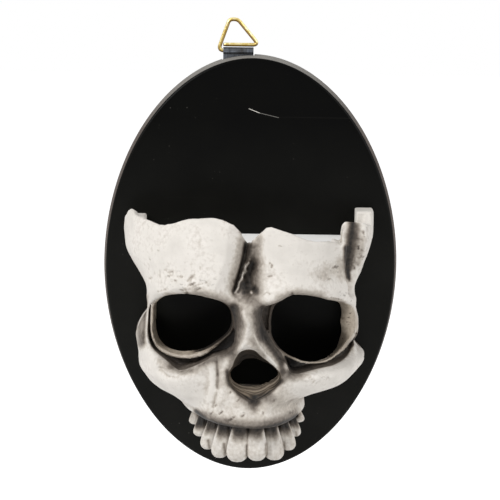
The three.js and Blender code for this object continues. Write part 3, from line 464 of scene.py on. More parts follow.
def bone_field(x, y, z):
    """Signed distance, roughly, to the skull's skin, negative in the resin: the skin without the hollow, plus the
    openings' linings, less the openings, the roof of the mouth and what is above the broken rim."""
    out = np.maximum(plate_face - y, 0)
    turn = np.arctan2(out, -x) / np.pi
    away = np.hypot(x, out)
    skin = (away - read_map(skin_radius, turn, z)) / read_map(skin_slope, turn, z)
    hollow = away - read_map(hollow_radius, turn, z)
    shell = rounded_max(skin, -rounded_max(hollow, hollow_floor - z, 1.5), 0.5)
    spaces = [opening_fields(name, x, y, z) for name in openings]
    for _, lining, _ in spaces:
        shell = -rounded_max(-shell, -np.maximum(lining, skin), 1.0)
    for space, _, rounding in spaces:
        shell = rounded_max(shell, -space, rounding)
    # the open roof of the mouth, and the gum's rounded lower edge, which rises a little to the right
    gum = read_map(skin_radius, turn, gum_height + 0 * z)
    mouth = np.maximum(away - (gum - gum_thickness), z - (gum_height + mouth_height))
    mouth = np.maximum(mouth, y - (plate_face - mouth_off_plate))
    shell = rounded_max(shell, -mouth, 0.8)
    shell = rounded_max(shell, (gum_height + 1.3 - 0.05 * x - z), 3.4)
    # the broken rim, jagged at the cleft and left of the slot at the right temple
    jag = 0.5 * soft_noise(np.stack([x, y, z], -1), 1.7, 12)
    jag_share = (eased(0.709, 0.711, turn) * (1 - eased(0.76, 0.78, turn))
                 + eased(0.462, 0.47, turn) * (1 - eased(0.5, 0.51, turn)))
    rim = gum_height + bone_height * np.interp(turn + 0.006 * jag * jag_share, rim_shares[:, 0], rim_shares[:, 1])
    above_rim = z - rim - jag * (0.1 + 0.9 * jag_share) + 0.65 * np.clip(-skin - 1.0, 0, 6)
    shell = rounded_max(shell, above_rim * 0.8, 0.9)
    # what is broken off between the brow's rim and the edge that stands left of that slot
    broken_edge = np.interp(z, *broken_edge_marks.T) + 0.6 * jag
    over_brow = z - (gum_height + 0.892 * bone_height - 0.35 * (x - 24)) - 0.3 * jag
    shell = rounded_max(shell, np.minimum(np.minimum(over_brow, broken_edge - x), x - 22.8), 0.5)
    # the lugs and bosses that the screws go into
    for side, middle, half, top in lug_marks:
        lug = np.maximum(np.abs(x - side * middle) - half, plate_face - lug_depth - y)
        lug = np.maximum(lug, np.maximum(z - top, lug_bottom - z))
        shell = -rounded_max(-shell, -np.maximum(lug, skin), 0.6)
        boss = np.hypot(x - side * boss_place[0], z - boss_place[1]) - boss_radius
        shell = np.minimum(shell, np.maximum(boss, plate_face - boss_depth - y))
    return np.maximum(shell, y - plate_face)


slope_turn = np.gradient(skin_radius, skin_turns, axis=0) / (np.pi * skin_radius)
slope_height = np.gradient(skin_radius, skin_heights, axis=1)
skin_slope = np.clip(blurred(np.sqrt(1 + slope_turn ** 2 + slope_height ** 2), 2, 2), 1, 4)


def skin_over(field, low, step):
    """Surface nets: each cell that the surface crosses gets one vertex, at the mean of the points where the
    field changes sign along its edges, and each such edge gets a face between the four cells round it."""
    cells = np.array(field.shape) - 1
    sums, count, faces = np.zeros((cells.prod(), 3)), np.zeros(cells.prod()), []
    for axis in range(3):
        near = [slice(None)] * 3
        far = [slice(None)] * 3
        near[axis], far[axis] = slice(0, -1), slice(1, None)
        a, b = field[tuple(near)], field[tuple(far)]
        edge = np.argwhere((a < 0) != (b < 0))
        u, v = (axis + 1) % 3, (axis + 2) % 3
        keep = (edge[:, u] > 0) & (edge[:, v] > 0) & (edge[:, u] < cells[u]) & (edge[:, v] < cells[v])
        edge = edge[keep]
        at_a, at_b = a[tuple(edge.T)], b[tuple(edge.T)]
        point = edge.astype(float)
        point[:, axis] += at_a / (at_a - at_b)
        ring = []
        for du, dv in ((1, 1), (0, 1), (0, 0), (1, 0)):
            cell = edge.copy()
            cell[:, u] -= du
            cell[:, v] -= dv
            flat = np.ravel_multi_index(tuple(cell.T), tuple(cells))
            for k in range(3):
                sums[:, k] += np.bincount(flat, point[:, k], len(count))
            count += np.bincount(flat, minlength=len(count))
            ring.append(flat)
        quad = np.stack(ring, 1)
        inward = at_a < 0
        faces.append(np.where(inward[:, None], quad, quad[:, ::-1]))
    used = np.flatnonzero(count)
    number = np.full(len(count), -1)
    number[used] = np.arange(len(used))
    return np.array(low) + sums[used] / count[used, None] * step, number[np.concatenate(faces)]


cell_mm = 0.5
low_corner = np.array([-44.5, -60.5, -50.5])
high_corner = np.array([44.0, plate_face + 1.5, 24.5])
steps = np.ceil((high_corner - low_corner) / cell_mm).astype(int)
axes = [low_corner[k] + cell_mm * np.arange(steps[k] + 1) for k in range(3)]
grid = np.meshgrid(*axes, indexing="ij")
bone_points, bone_faces = skin_over(bone_field(*grid), low_corner, cell_mm)
bone_points[:, 1] = np.minimum(bone_points[:, 1], plate_face)

# Crumbs that hang free of the main body are left out
owner = np.arange(len(bone_points))
for _ in range(400):
    lowest = owner[bone_faces].min(1)
    before = owner.copy()
    np.minimum.at(owner, bone_faces.ravel(), np.repeat(lowest, 4))
    owner = owner[owner]
    if (owner == before).all():
        break
main = np.bincount(owner).argmax()
bone_faces = bone_faces[(owner[bone_faces] == main).all(1)]
kept = np.unique(bone_faces)
renumber = np.full(len(bone_points), -1)
renumber[kept] = np.arange(len(kept))
bone_points, bone_faces = bone_points[kept], renumber[bone_faces]


def new_mesh(name, points, faces):
    """A smooth mesh from points in millimetres and faces."""
    mesh = bpy.data.meshes.new(name)
    mesh.from_pydata((points * MM).tolist(), [], [list(map(int, f)) for f in faces])
    mesh.validate()
    mesh.shade_smooth()
    return mesh


def new_piece(name, mesh, body):
    """An object of a mesh, riding on a body."""
    piece = bpy.data.objects.new(name, mesh)
    scene.collection.objects.link(piece)
    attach(piece, body)
    return piece


skull = new_piece("skull_bone", new_mesh("skull_bone", bone_points, bone_faces), "holder")
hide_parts("skull_casting")

# The paint on the bone is matt white acrylic, and a thin brown-black wash that was brushed on and wiped off, so that
# it stays in the clefts, in the sockets and between the teeth. The same dark layer also carries painted shade: under
# the brows, beside the nose, in the sockets' grooves and behind their holes, in the slot, under the gum and between
# the teeth.
# Brushed wash and painted shade by the pixels they show at: strength, half width in pixels, path
wash_and_shade_strokes = [
    # the cleft: the dark line, the broken face, the hollow beside the crest and the shading round them
    (1.0, 2.3, [(245.6, 244), (243.7, 257), (239.6, 272), (236.5, 283), (234, 291.5)]),
    (0.8, 2.6, [(250.5, 244.5), (249, 254), (246.5, 262)]), (0.5, 3.4, [(254.5, 246), (252.5, 256), (250.5, 264)]),
    (0.28, 4.5, [(260, 240), (258, 252), (256, 264)]), (0.9, 3.6, [(251.5, 265), (247.5, 275), (244.5, 285)]),
    (0.85, 5.2, [(251, 270), (248.5, 281), (249, 291)]), (1.0, 1.6, [(247.4, 268), (245.6, 273), (243.6, 279)]),
    (0.9, 1.4, [(241.5, 281), (240.6, 286), (238.4, 292)]), (0.8, 4.0, [(243, 284), (244, 292)]),
    (0.95, 3.4, [(254.5, 288.5), (256, 291)]), (0.5, 7.5, [(256, 264), (256, 278), (256, 292)]),
    (0.3, 4.5, [(241, 240), (236.5, 262), (230.5, 287)]), (0.35, 5.0, [(244, 298), (252, 301)]),
    (0.3, 2.2, [(234, 294), (239, 300)]),
    # painted shade under the brows
    (0.55, 3.6, [(168, 297), (190, 296.5), (207, 299.5), (222, 304.5), (230, 309)]),
    (0.6, 3.2, [(197, 298), (208, 300.4), (221, 305), (230, 310)]), (0.3, 5.0, [(196, 292), (212, 295), (226, 301)]),
    (0.78, 3.4, [(265, 309), (278, 304), (291, 298)]),
    (0.72, 3.4, [(298, 297.5), (315, 299.5), (330, 302), (342, 304)]),
    (0.3, 5.0, [(280, 298), (300, 292), (320, 296)]),
    # painted shade on both sides of the nose's bridge
    (0.8, 4.6, [(232.5, 308), (235, 322), (233, 335), (229, 347.5)]),
    (0.55, 6.0, [(238, 310), (240.6, 325), (238, 338), (233.5, 349)]),
    (0.9, 4.4, [(262.5, 309), (260.5, 322), (265.5, 338)]), (0.6, 5.0, [(257, 314), (256.6, 326), (260, 338)]),
    (0.35, 5.0, [(258, 303), (257, 314)]), (0.8, 3.4, [(262, 330), (268, 343), (275.5, 354), (281, 362), (283, 372)]),
    (0.5, 5.0, [(267, 342), (275, 352), (281, 361)]), (0.35, 4.5, [(252, 341), (258, 348), (264, 355)]),
    (0.12, 9.0, [(248, 306), (248, 330)]), (0.5, 3.6, [(233, 356), (230, 366)]), (0.5, 3.0, [(282, 372), (283, 380)]),
    # painted shade on the left eye's floor, tear duct and cheek
    (0.7, 4.0, [(212, 350), (222, 346), (231, 342)]), (0.6, 4.5, [(200, 361), (215, 355), (228, 351)]),
    (0.5, 4.0, [(200, 365), (214, 360), (230, 353)]), (0.8, 4.2, [(173, 366), (181, 369), (189, 366)]),
    (0.35, 4.0, [(184, 371), (196, 370)]), (0.3, 4.0, [(160, 361), (168, 367)]),
    (0.4, 1.5, [(216.5, 362), (217.6, 374)]), (0.25, 1.4, [(217.6, 374), (217, 388)]),
    (0.2, 1.1, [(216.4, 392), (214.6, 400), (213, 407)]), (0.22, 4.0, [(220, 364), (221, 384)]),
    (0.15, 3.0, [(226, 372), (228, 392)]),
    # painted shade on the right eye's floor
    (0.9, 4.0, [(290, 372), (303, 370), (314, 366)]), (0.5, 4.0, [(288, 377), (300, 376)]),
    # painted shade round and under the nose
    (0.9, 2.6, [(227.3, 371), (229, 384), (240, 394.6), (252.5, 400.5), (268, 393), (281, 381)]),
    (0.9, 3.8, [(252.4, 400.6), (256.4, 401.4)]), (0.2, 4.5, [(254, 405), (254, 408)]),
    (0.35, 5.0, [(243, 399), (249, 403)]), (0.3, 5.0, [(259, 402), (268, 397)]),
    (0.25, 6.0, [(268, 397), (280, 402)]), (0.18, 6.0, [(250, 300), (254, 312)]),
    # painted shade in the slot at the right temple and on the horn, and the shaded patch beside them
    (1.0, 4.4, [(352.6, 223), (351.8, 236)]), (1.0, 4.2, [(351, 236), (349.8, 249)]),
    (1.0, 3.2, [(349, 249), (348.8, 260)]), (1.0, 2.2, [(345.6, 247.5), (345.8, 258), (346.6, 268), (348.2, 277)]),
    (1.0, 2.2, [(348.6, 260), (348.6, 270)]), (0.95, 1.2, [(348.6, 270), (349.3, 280)]),
    (0.5, 3.0, [(357.4, 226), (356.4, 240), (353.6, 254)]), (0.5, 1.8, [(352.4, 256), (351.6, 268)]),
    (0.22, 4.0, [(362, 240), (358, 262)]), (0.16, 8.0, [(320, 274), (338, 266)]),
    (0.2, 3.5, [(342, 260), (346, 278)]),
    # painted shade on the left side behind the eye's margin
    (0.5, 3.8, [(144.6, 298), (141.4, 310), (139.8, 322), (139.8, 334), (140.8, 344)]),
    (0.6, 2.0, [(146, 303), (145.2, 312), (144.6, 322), (144, 332), (143.4, 342)]),
    (0.3, 3.6, [(141.4, 334), (141.6, 344)]),
    # painted shade under the gum's lower edge and on the maxilla
    (1.0, 2.4, [(196, 411), (203.2, 417.5), (207.4, 420.8), (217.3, 423.6), (229.8, 426.4), (244.7, 428),
                (254.6, 428.6), (267, 427), (279.5, 424), (290.3, 419.6), (297, 415.6)]),
    (0.45, 4.0, [(203, 414), (216, 419.5), (232, 422), (256, 424), (272, 422), (286, 417), (296, 411)]),
    (0.12, 6.0, [(286, 392), (294, 402)]), (0.12, 16.0, [(225, 402), (252, 414), (275, 404)]),
    # painted shade between the teeth
    (0.5, 1.3, [(208, 440), (210, 450)]), (0.5, 1.4, [(224, 444), (225.6, 457)]),
    (0.45, 1.3, [(246.8, 445), (247, 460)]), (0.45, 1.3, [(266, 444), (266.4, 460)]),
    (0.45, 1.3, [(284, 442), (285.2, 452)]), (0.4, 1.2, [(296, 432), (297, 440)]), *nicks,
]

# Crests that the rag wiped bright again: strength, half width in pixels, path
wiped_strokes = [
    (0.85, 1.1, [(248.8, 263), (245, 268), (246, 271.4), (241.8, 275.5), (242.3, 279), (238.4, 283), (238.2, 288),
                 (235.2, 292.5)]), (0.8, 0.9, [(240, 231), (243, 236), (245.4, 240.4)]),
    (0.9, 1.2, [(251, 291.8), (251.6, 293)]),
    (0.6, 2.2, [(243, 312), (248.5, 325.5), (246.2, 338.6), (240.5, 348.8)]),
    (0.7, 0.9, [(254, 334.7), (259, 345), (266.5, 355), (276, 365.4)]),
    (0.8, 1.3, [(149.6, 299), (148, 313), (147, 327), (147.4, 340)]),
]


def brushed(points, strokes):
    """How much of a brushed colour lies on each point: the strokes' shares left bare are multiplied together, each
    one less its strength times a bell curve of the distance to its path over its half width."""
    pixels = seen_at(points)
    bare = np.ones(len(points))
    for strength, wide, path in strokes:
        far = distance_to_path(pixels, np.array(path, float)) / wide
        bare *= 1 - strength * np.exp(-far ** 2)
    return 1 - bare


def add_layer(piece, name, values):
    """Stores one value for each point of a piece, for its material to read."""
    layer = piece.data.attributes.new(name, "FLOAT", "POINT")
    layer.data.foreach_set("value", np.asarray(values, np.float32))


x, y, z = bone_points.T
out = np.maximum(plate_face - y, 0)
turn = np.arctan2(out, -x) / np.pi
away = np.hypot(x, out)
# the wash and painted shade were laid on from the front: they reach 2.2 mm under the skin, and 5 mm at the gum
wash_and_shade_reach = np.where(z < -42.5, 5.0, 2.2)
on_skin = np.exp(-(np.maximum(read_map(skin_radius, turn, z) - away, 0) / wash_and_shade_reach) ** 2)
wash_and_shade = brushed(bone_points, wash_and_shade_strokes) * on_skin * eased(4, 10, out)
# hollows in the skin are darkened, as wash settled there and as painted shade
crease_wash_and_shade = np.clip(read_map(skin_cavity, turn, z) / 0.6, 0, 1)
wash_and_shade = 1 - (1 - wash_and_shade) * (1 - 0.4 * crease_wash_and_shade * on_skin)
wash_and_shade *= 1 - brushed(bone_points, wiped_strokes) * on_skin
lining, strata, band_share = np.zeros(len(x)), np.zeros(len(x)), np.zeros(len(x))
# what lies on the hollow's wall, out of sight: these faces are made coarser
hidden = (away < read_map(hollow_radius, turn, z) + 0.4) & (z > -41) & (z < 9)
for name, o in openings.items():
    turn_round, far_in, depth = opening_place(name, x, y, z)
    margin, outer, front = (round_value(o[k], turn_round) for k in ("margin", "ring_outer", "ring_front"))
    inside = 1 - eased(margin - 0.2, margin + 0.9, far_in)
    hidden &= far_in > outer + 0.1
    in_ring = (1 - eased(outer - 0.4, outer + 0.3, far_in)) * eased(front - 0.8, front + 0.6, depth)
    lining = np.maximum(lining, in_ring * inside)
    strata += in_ring * inside * depth
    above = np.clip(1.4 * np.sin(turn_round * 2 * np.pi) + 0.3, 0, 1)
    if name == "nose":
        # painted shade inside the nose, darker on its upper side, which faces down
        stain_and_shade = (0.5 + 0.45 * above) * eased(0.3, 1.6, depth)
        banded_here = 1 - above
    else:
        # painted shade: dark beside the nose, where the ring is deep, and in the groove
        inner_side, inner_shade, trench_shade, banded_here = {
            "left_eye": (0.06, 0.75, 0.8, 0.6), "right_eye": (0.45, 0.8, 0.93, 0.0)}[name]
        medial = np.clip(1.25 * np.cos(2 * np.pi * (turn_round - inner_side)), 0, 1)
        in_trench = eased(outer - 0.2, outer + 0.5, far_in) * eased(0.5, 2.5, depth)
        at_end = eased(o["hole_depth"] - 1.0, o["hole_depth"] + 2.5, depth)
        stain_and_shade = np.maximum(trench_shade * in_trench, in_ring * np.clip(0.08 + 0.6 * medial + 0.5 * at_end, 0, 0.95))
        stain_and_shade = np.maximum(np.minimum(stain_and_shade, 1 - (1 - inner_shade) * medial),
                           inner_shade * medial * eased(0.2, 2.0, depth))
    band_share += in_ring * inside * banded_here
    wash_and_shade = 1 - (1 - wash_and_shade) * (1 - np.clip(stain_and_shade, 0, 1) * inside)
    # painted shade: past the hole the inside is made dark, out to 18 to 23 mm from the opening's centre
    shade_behind_hole = eased(o["hole_depth"] + 0.4, o["hole_depth"] + 1.6, depth) * (1 - eased(18, 23, far_in))
    wash_and_shade = np.maximum(wash_and_shade, shade_behind_hole)
pit_strokes = [
    (0.5, 12, [(170, 277), (195, 284), (212, 282)]), (0.9, 6, [(366, 232), (362, 262)]),
    (0.8, 9, [(322, 276), (338, 266)]), (1.0, 10, [(346, 300), (347, 345)]), (0.5, 9, [(222, 414), (240, 414)]),
    (0.6, 8, [(290, 408), (298, 400)]), (0.4, 12, [(312, 380), (328, 378)]),
    (1.0, 5, [(247, 268), (243, 280), (252, 292)]),
]
for name, values in (("wash_and_shade", wash_and_shade), ("lining", lining), ("strata", strata * 0.1), ("bands", band_share),
                     ("pits", brushed(bone_points, pit_strokes))):
    add_layer(skull, name, values)

skull.vertex_groups.new(name="hidden").add(np.flatnonzero(hidden).tolist(), 1.0, "REPLACE")
thinned = skull.modifiers.new("thinned", "DECIMATE")
thinned.ratio, thinned.vertex_group = 0.72, "hidden"


def linear(code):
    """A colour socket's value from an sRGB hex code: each part over 12.92, or above 0.04045 its sum with 0.055 over
    1.055 to the power of 2.4."""
    parts = [int(code[i:i + 2], 16) / 255 for i in (1, 3, 5)]
    return (*[c / 12.92 if c <= 0.04045 else ((c + 0.055) / 1.055) ** 2.4 for c in parts], 1.0)


def set_node(tree, node, stops=(), **settings):
    """Sets a node up. Settings name its properties or, after in_, its inputs by number or name: another node's
    output is linked there, a hex code made linear, and any other value set. Stops are a ramp's places and colours."""
    for key, value in settings.items():
        if not key.startswith("in_"):
            setattr(node, key, value)
            continue
        socket = node.inputs[int(key[3:]) if key[3:].isdigit() else key[3:].replace("_", " ")]
        if isinstance(value, bpy.types.NodeSocket):
            tree.links.new(value, socket)
        else:
            socket.default_value = linear(value) if isinstance(value, str) else value
    for _ in stops[2:]:
        node.color_ramp.elements.new(0.5)
    for i, (place, code) in enumerate(stops):
        node.color_ramp.elements[i].position, node.color_ramp.elements[i].color = place, linear(code)


def add_node(tree, kind, out=0, **settings):
    """Adds a shader node, sets it up and gives one of its outputs."""
    node = tree.nodes.new("ShaderNode" + kind)
    set_node(tree, node, **settings)
    return node.outputs[out]


def new_finish(name):
    """A new material, with its node tree and its surface shader."""
    material = bpy.data.materials.new(name)
    material.use_nodes = True
    return material, material.node_tree, material.node_tree.nodes["Principled BSDF"]


# Matt acrylic on cast resin: a soft, nearly shineless white, faintly mottled over 8 mm, with a brush grain of a
# millimetre, bubble pits of 1.3 mm, and the wash with its painted shade breaking up where it thins out
bone_paint, tree, shader = new_finish("bone_white_acrylic_with_wash_and_painted_shade")
place = add_node(tree, "TexCoord", "Object")
washed_and_shaded, lined, layered, banded, pitted = (add_node(tree, "Attribute", "Fac", attribute_name=name)
                                          for name in ("wash_and_shade", "lining", "strata", "bands", "pits"))
mottle = add_node(tree, "TexNoise", in_Vector=place, in_Scale=125.0, in_Detail=4.0)
grain = add_node(tree, "TexNoise", in_Vector=place, in_Scale=900.0, in_Detail=3.0)
body = add_node(tree, "ValToRGB", in_0=mottle, stops=((0.3, "#D3CEC7"), (0.5, "#DDD8D1"), (0.75, "#E5E0DA")))
warm = add_node(tree, "ValToRGB", in_0=grain, stops=((0.3, "#9C9081"), (0.65, "#C6BBAB")))
based = add_node(tree, "Mix", 2, data_type="RGBA", in_0=lined, in_6=body, in_7=warm)
# layers of casting lines 1.1 mm apart in the sockets and the nose
waver = add_node(tree, "Math", operation="MULTIPLY_ADD", in_0=mottle, in_1=0.25, in_2=layered)
wave = add_node(tree, "Math", operation="MULTIPLY", in_0=waver, in_1=57.0)
bands = add_node(tree, "Math", operation="SINE", in_0=wave)
band_wash = add_node(tree, "Math", operation="MULTIPLY", in_0=bands, in_1=banded)
uneven = add_node(tree, "Math", operation="ADD", in_0=mottle, in_1=grain)
uneven = add_node(tree, "Math", operation="MULTIPLY_ADD", in_0=uneven, in_1=0.4, in_2=-0.41)
uneven = add_node(tree, "Math", operation="MULTIPLY_ADD", in_0=band_wash, in_1=0.16, in_2=uneven)
stain_and_shade = add_node(tree, "Math", operation="ADD", use_clamp=True, in_0=washed_and_shaded, in_1=uneven)
tone = add_node(tree, "ValToRGB", in_0=stain_and_shade, stops=((0.0, "#FFFFFF"), (0.2, "#DAD6D1"), (0.45, "#A39D97"),
                                                     (0.7, "#625B55"), (1.0, "#1D1916")))
flattened = add_node(tree, "Mapping", in_Vector=place, in_Scale=(480.0, 480.0, 900.0))
dents = add_node(tree, "TexNoise", in_Vector=flattened, in_Scale=1.0, in_Detail=2.5)
pit = add_node(tree, "ValToRGB", in_0=dents, stops=((0.3, "#FFFFFF"), (0.42, "#000000")))
pit_here = add_node(tree, "Math", operation="MULTIPLY", in_0=pit, in_1=pitted)
# the pits are darkened, as wash and painted shade in them
pit_tone = add_node(tree, "ValToRGB", in_0=pit_here, stops=((0.1, "#FFFFFF"), (1.0, "#94908C")))
stained = add_node(tree, "Mix", 2, data_type="RGBA", blend_type="MULTIPLY", in_0=1.0, in_6=based, in_7=tone)
stained = add_node(tree, "Mix", 2, data_type="RGBA", blend_type="MULTIPLY", in_0=1.0, in_6=stained, in_7=pit_tone)
height = add_node(tree, "Math", operation="MULTIPLY_ADD", in_0=pit_here, in_1=-1.6, in_2=grain)
height = add_node(tree, "Math", operation="MULTIPLY_ADD", in_0=band_wash, in_1=-0.8, in_2=height)
worked = add_node(tree, "TexNoise", in_Vector=place, in_Scale=420.0, in_Detail=4.0)
bump = add_node(tree, "Bump", in_Height=worked, in_Strength=0.35, in_Distance=0.0006)
bump = add_node(tree, "Bump", in_Height=height, in_Normal=bump, in_Strength=0.55, in_Distance=0.0002)
set_node(tree, shader, in_Base_Color=stained, in_Normal=bump, in_Roughness=0.6, in_Specular_IOR_Level=0.3)
skull.data.materials.append(bone_paint)

# ---------------------------------------------------------------------------
# The teeth: ten upper teeth cast with the skull, close together, each narrow at the root, widest above its worn,
# rounded edge, and leaning outwards. They are painted with the bone.
# ---------------------------------------------------------------------------
# Pixels of the root's middle and of the edge's middle, half width at the edge in pixels, depth of the edge off the
# wall, and how far down the wash and painted shade go
tooth_marks = [
    (193.5, 412, 192.4, 424.8, 4.4, 24, 0.0), (200.5, 419, 197.3, 436.9, 6.2, 30, 0.66),
    (211.3, 423, 205.4, 450.3, 7.9, 38, 0.52), (223.3, 426, 218.0, 459.0, 9.0, 45, 0.5),
    (239.4, 428, 236.4, 463.2, 11.0, 49, 0.48), (256.8, 428, 257.0, 462.1, 10.2, 50, 0.46),
    (271.5, 427, 275.8, 461.4, 10.2, 47, 0.48), (284.0, 422, 290.4, 451.4, 8.2, 42, 0.54),
    (293.0, 417, 297.4, 437.3, 5.9, 33, 0.62), (299.0, 410, 301.4, 422.7, 4.4, 26, 0.2),
]
tooth_half_thickness = 2.4
root_behind_gum = 3.6


def lathed_rings(rings):
    """Faces over a pile of closed rings of equal numbers, with a fan to the middle of the first and of the last."""
    count, rows = len(rings[0]), len(rings)
    points = np.concatenate([*rings, [rings[0].mean(0), rings[-1].mean(0)]])
    a, b = np.meshgrid(np.arange(rows - 1) * count, np.arange(count), indexing="ij")
    beside = (b + 1) % count
    quads = np.stack([a + b, a + beside, a + count + beside, a + count + b], -1).reshape(-1, 4).tolist()
    last = (rows - 1) * count
    fans = [[rows * count, (i + 1) % count, i] for i in range(count)]
    fans += [[rows * count + 1, last + i, last + (i + 1) % count] for i in range(count)]
    return points, quads + fans


down = np.linspace(0, 1, 40)[:, None]
across_turn = np.linspace(0, 2 * np.pi, 56, endpoint=False)[None, :]
c, s = np.cos(across_turn), np.sin(across_turn)
tooth_points, tooth_faces, tooth_wash_and_shade = [], [], []
for root_x, root_y, tip_x, tip_y, half, depth, dark_to in tooth_marks:
    tip = at_depth(tip_x, tip_y, depth)
    turn_here = np.arctan2(depth + plate_face, -tip[0]) / np.pi
    outward = np.array([-np.cos(turn_here * np.pi), -np.sin(turn_here * np.pi), 0])
    along = np.array([-outward[1], outward[0], 0])
    gum_here = float(read_map(skin_radius, turn_here, np.float64(gum_height)))
    root = at_depth(root_x, root_y, -plate_face + (gum_here - root_behind_gum) * np.sin(turn_here * np.pi))
    root = root - (tip - root) * 0.2
    half_mm = half / pixels_per_mm * 0.95 / max(abs(along[0]), 0.5)
    middle = root + (tip - root) * down[..., None] - outward * 1.6
    # the width eases out from the root and closes in a half oval at the edge; the front is fluted near the root
    closing = np.sqrt(1 - np.clip((down - 0.73) / 0.27, 0, 1) ** 2.2)
    wide = (0.7 + 0.33 * eased(0.1, 0.72, down)) * closing
    thick = (0.8 + 0.25 * eased(0.2, 0.7, down)) * closing
    flute = 1 - 0.24 * np.exp(-(c / 0.42) ** 2) * np.clip(s, 0, 1) * (1 - eased(0.4, 0.8, down))
    flute = flute - 0.03 * np.cos(c * 14) * np.clip(s, 0, 1) * np.sin(np.pi * down)
    sideways = np.sign(c) * np.abs(c) ** 0.95 * half_mm * wide
    forward = np.sign(s) * np.abs(s) ** 0.9 * tooth_half_thickness * thick * flute
    points, faces = lathed_rings(middle + sideways[..., None] * along + forward[..., None] * outward)
    first = sum(map(len, tooth_points))
    tooth_points.append(points)
    tooth_faces += [[first + i for i in face] for face in faces]
    # painted shade under the gum, with the wash, lies on the root and runs down at the sides, less on the side
    # towards the cheek
    cheek_side = c * np.sign(along[0] * tip[0])
    root_wash_and_shade = 1 - eased(dark_to - 0.3, dark_to + 0.16, down + 0.12 * np.maximum(np.abs(c) - 0.3, 0))
    root_wash_and_shade = np.maximum(root_wash_and_shade * (1 - 0.75 * eased(0.45, 0.95, cheek_side)), 0.1)
    tooth_wash_and_shade.append(np.concatenate([root_wash_and_shade.ravel(), [1.0, 0.1]]))
tooth_points, tooth_wash_and_shade = np.concatenate(tooth_points), np.concatenate(tooth_wash_and_shade)
teeth = new_piece("teeth", new_mesh("teeth", tooth_points, tooth_faces), "holder")
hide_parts("skull_casting")
add_layer(teeth, "wash_and_shade", 1 - (1 - tooth_wash_and_shade) * (1 - brushed(tooth_points, wash_and_shade_strokes)))
for layer in ("lining", "strata", "bands", "pits"):
    add_layer(teeth, layer, np.zeros(len(tooth_points)))
teeth.data.materials.append(bone_paint)

# ---------------------------------------------------------------------------
# The shelf: a flat white resin floor that is glued into the broken brow, for one tealight.
# The CAD node keeps its shape, with its bevelled edge.
# ---------------------------------------------------------------------------
# Matt white casting resin: even and shineless, with a faint sanding grain half a millimetre apart
shelf_resin, tree, shader = new_finish("matt_white_cast_resin")
place = add_node(tree, "TexCoord", "Object")
sanded = add_node(tree, "Mapping", in_Vector=place, in_Scale=(250.0, 2000.0, 250.0))
grain = add_node(tree, "TexNoise", in_Vector=sanded, in_Scale=1.0, in_Detail=3.0)
white = add_node(tree, "ValToRGB", in_0=grain, stops=((0.3, "#FCFBF8"), (0.7, "#FFFEFC")))
bump = add_node(tree, "Bump", in_Height=grain, in_Strength=0.2, in_Distance=0.0001)
set_node(tree, shader, in_Base_Color=white, in_Normal=bump, in_Roughness=0.7, in_Specular_IOR_Level=0.3)


def refinish(node, material):
    """Gives a CAD node another finish, in its object's own material slots."""
    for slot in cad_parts[node].material_slots:
        slot.link = "OBJECT"
        slot.material = material


refinish("candle_shelf", shelf_resin)

# ---------------------------------------------------------------------------
# The plate: a 7 mm oval sawn from board, its side drawn in a little to the front and its edges eased, sprayed
# with gloss black lacquer. Its back has the hanger's recess and the screws' countersinks.
# ---------------------------------------------------------------------------
plate_half_width = 50.0
plate_half_height = 71.5
outline_power = 1.95
plate_sides = 264
side_drawn_in = 0.9
front_round, back_round = 1.1, 0.5


def plate_ring(inset, y):
    """One closed outline of the plate: a superellipse whose half sizes are cut by an inset, at a depth."""
    turn = np.linspace(0, 2 * np.pi, plate_sides, endpoint=False)
    c, s = np.cos(turn), np.sin(turn)
    return np.stack([np.sign(c) * np.abs(c) ** (2 / outline_power) * (plate_half_width - inset), np.full_like(c, y),
                     np.sign(s) * np.abs(s) ** (2 / outline_power) * (plate_half_height - inset)], -1)


def turned(profile, x, z, sides=32):
    """A profile of (radius, y) turned round a line along Y through a place."""
    turn = np.linspace(0, 2 * np.pi, sides, endpoint=False)
    return lathed_rings([np.stack([x + r * np.cos(turn), np.full(sides, y), z + r * np.sin(turn)], -1)
                         for r, y in profile])


corner = np.linspace(0, np.pi / 2, 7)
rings = [plate_ring(20, 0.0), plate_ring(back_round + 1, 0.0)]
rings += [plate_ring(back_round * (1 - np.sin(t)), -back_round * (1 - np.cos(t))) for t in corner]
rings += [plate_ring(side_drawn_in, plate_face + front_round)]
rings += [plate_ring(side_drawn_in + front_round * (1 - np.cos(t)), plate_face + front_round * (1 - np.sin(t)))
          for t in corner[1:]]
rings += [plate_ring(3.2, plate_face), plate_ring(20, plate_face)]

# What is cut from it: the recess for the strap's leaf, its notch at the edge, the screws' and the nails' holes
behind_wall = 5.0
recess_left, recess_right, leaf_end, roll_z = -10.4, 0.4, 58.6375, 72.6375
cutters = []
for low, high in [((recess_left, -1.55, leaf_end - 0.3), (recess_right, behind_wall, roll_z + 5)),
                  ((recess_left, -3.6, roll_z - 1.5), (recess_right, behind_wall, roll_z + 5))]:
    corners = np.stack(np.meshgrid(*zip(low, high), indexing="ij"), -1).reshape(8, 3)
    cutters.append((corners, [[0, 1, 3, 2], [4, 6, 7, 5], [0, 4, 5, 1], [2, 3, 7, 6], [0, 2, 6, 4], [1, 5, 7, 3]]))
for screw in ((-38.2, 14.65), (38.2, 14.65), (-31.2, -28.5), (31.2, -28.5)):
    cutters.append(turned([(1.55, -12.0), (1.55, -2.2), (2.9, -0.5), (2.9, behind_wall)], *screw))
for nail in ((-7.5, 63.9575), (-2.5, 63.9575)):
    cutters.append(turned([(0.85, -5.2), (0.85, behind_wall)], *nail))
shapes = [lathed_rings(rings), *cutters]
blank, *tools = (bpy.data.objects.new("blank", new_mesh("blank", *shape)) for shape in shapes)
for tool in (blank, *tools):
    scene.collection.objects.link(tool)
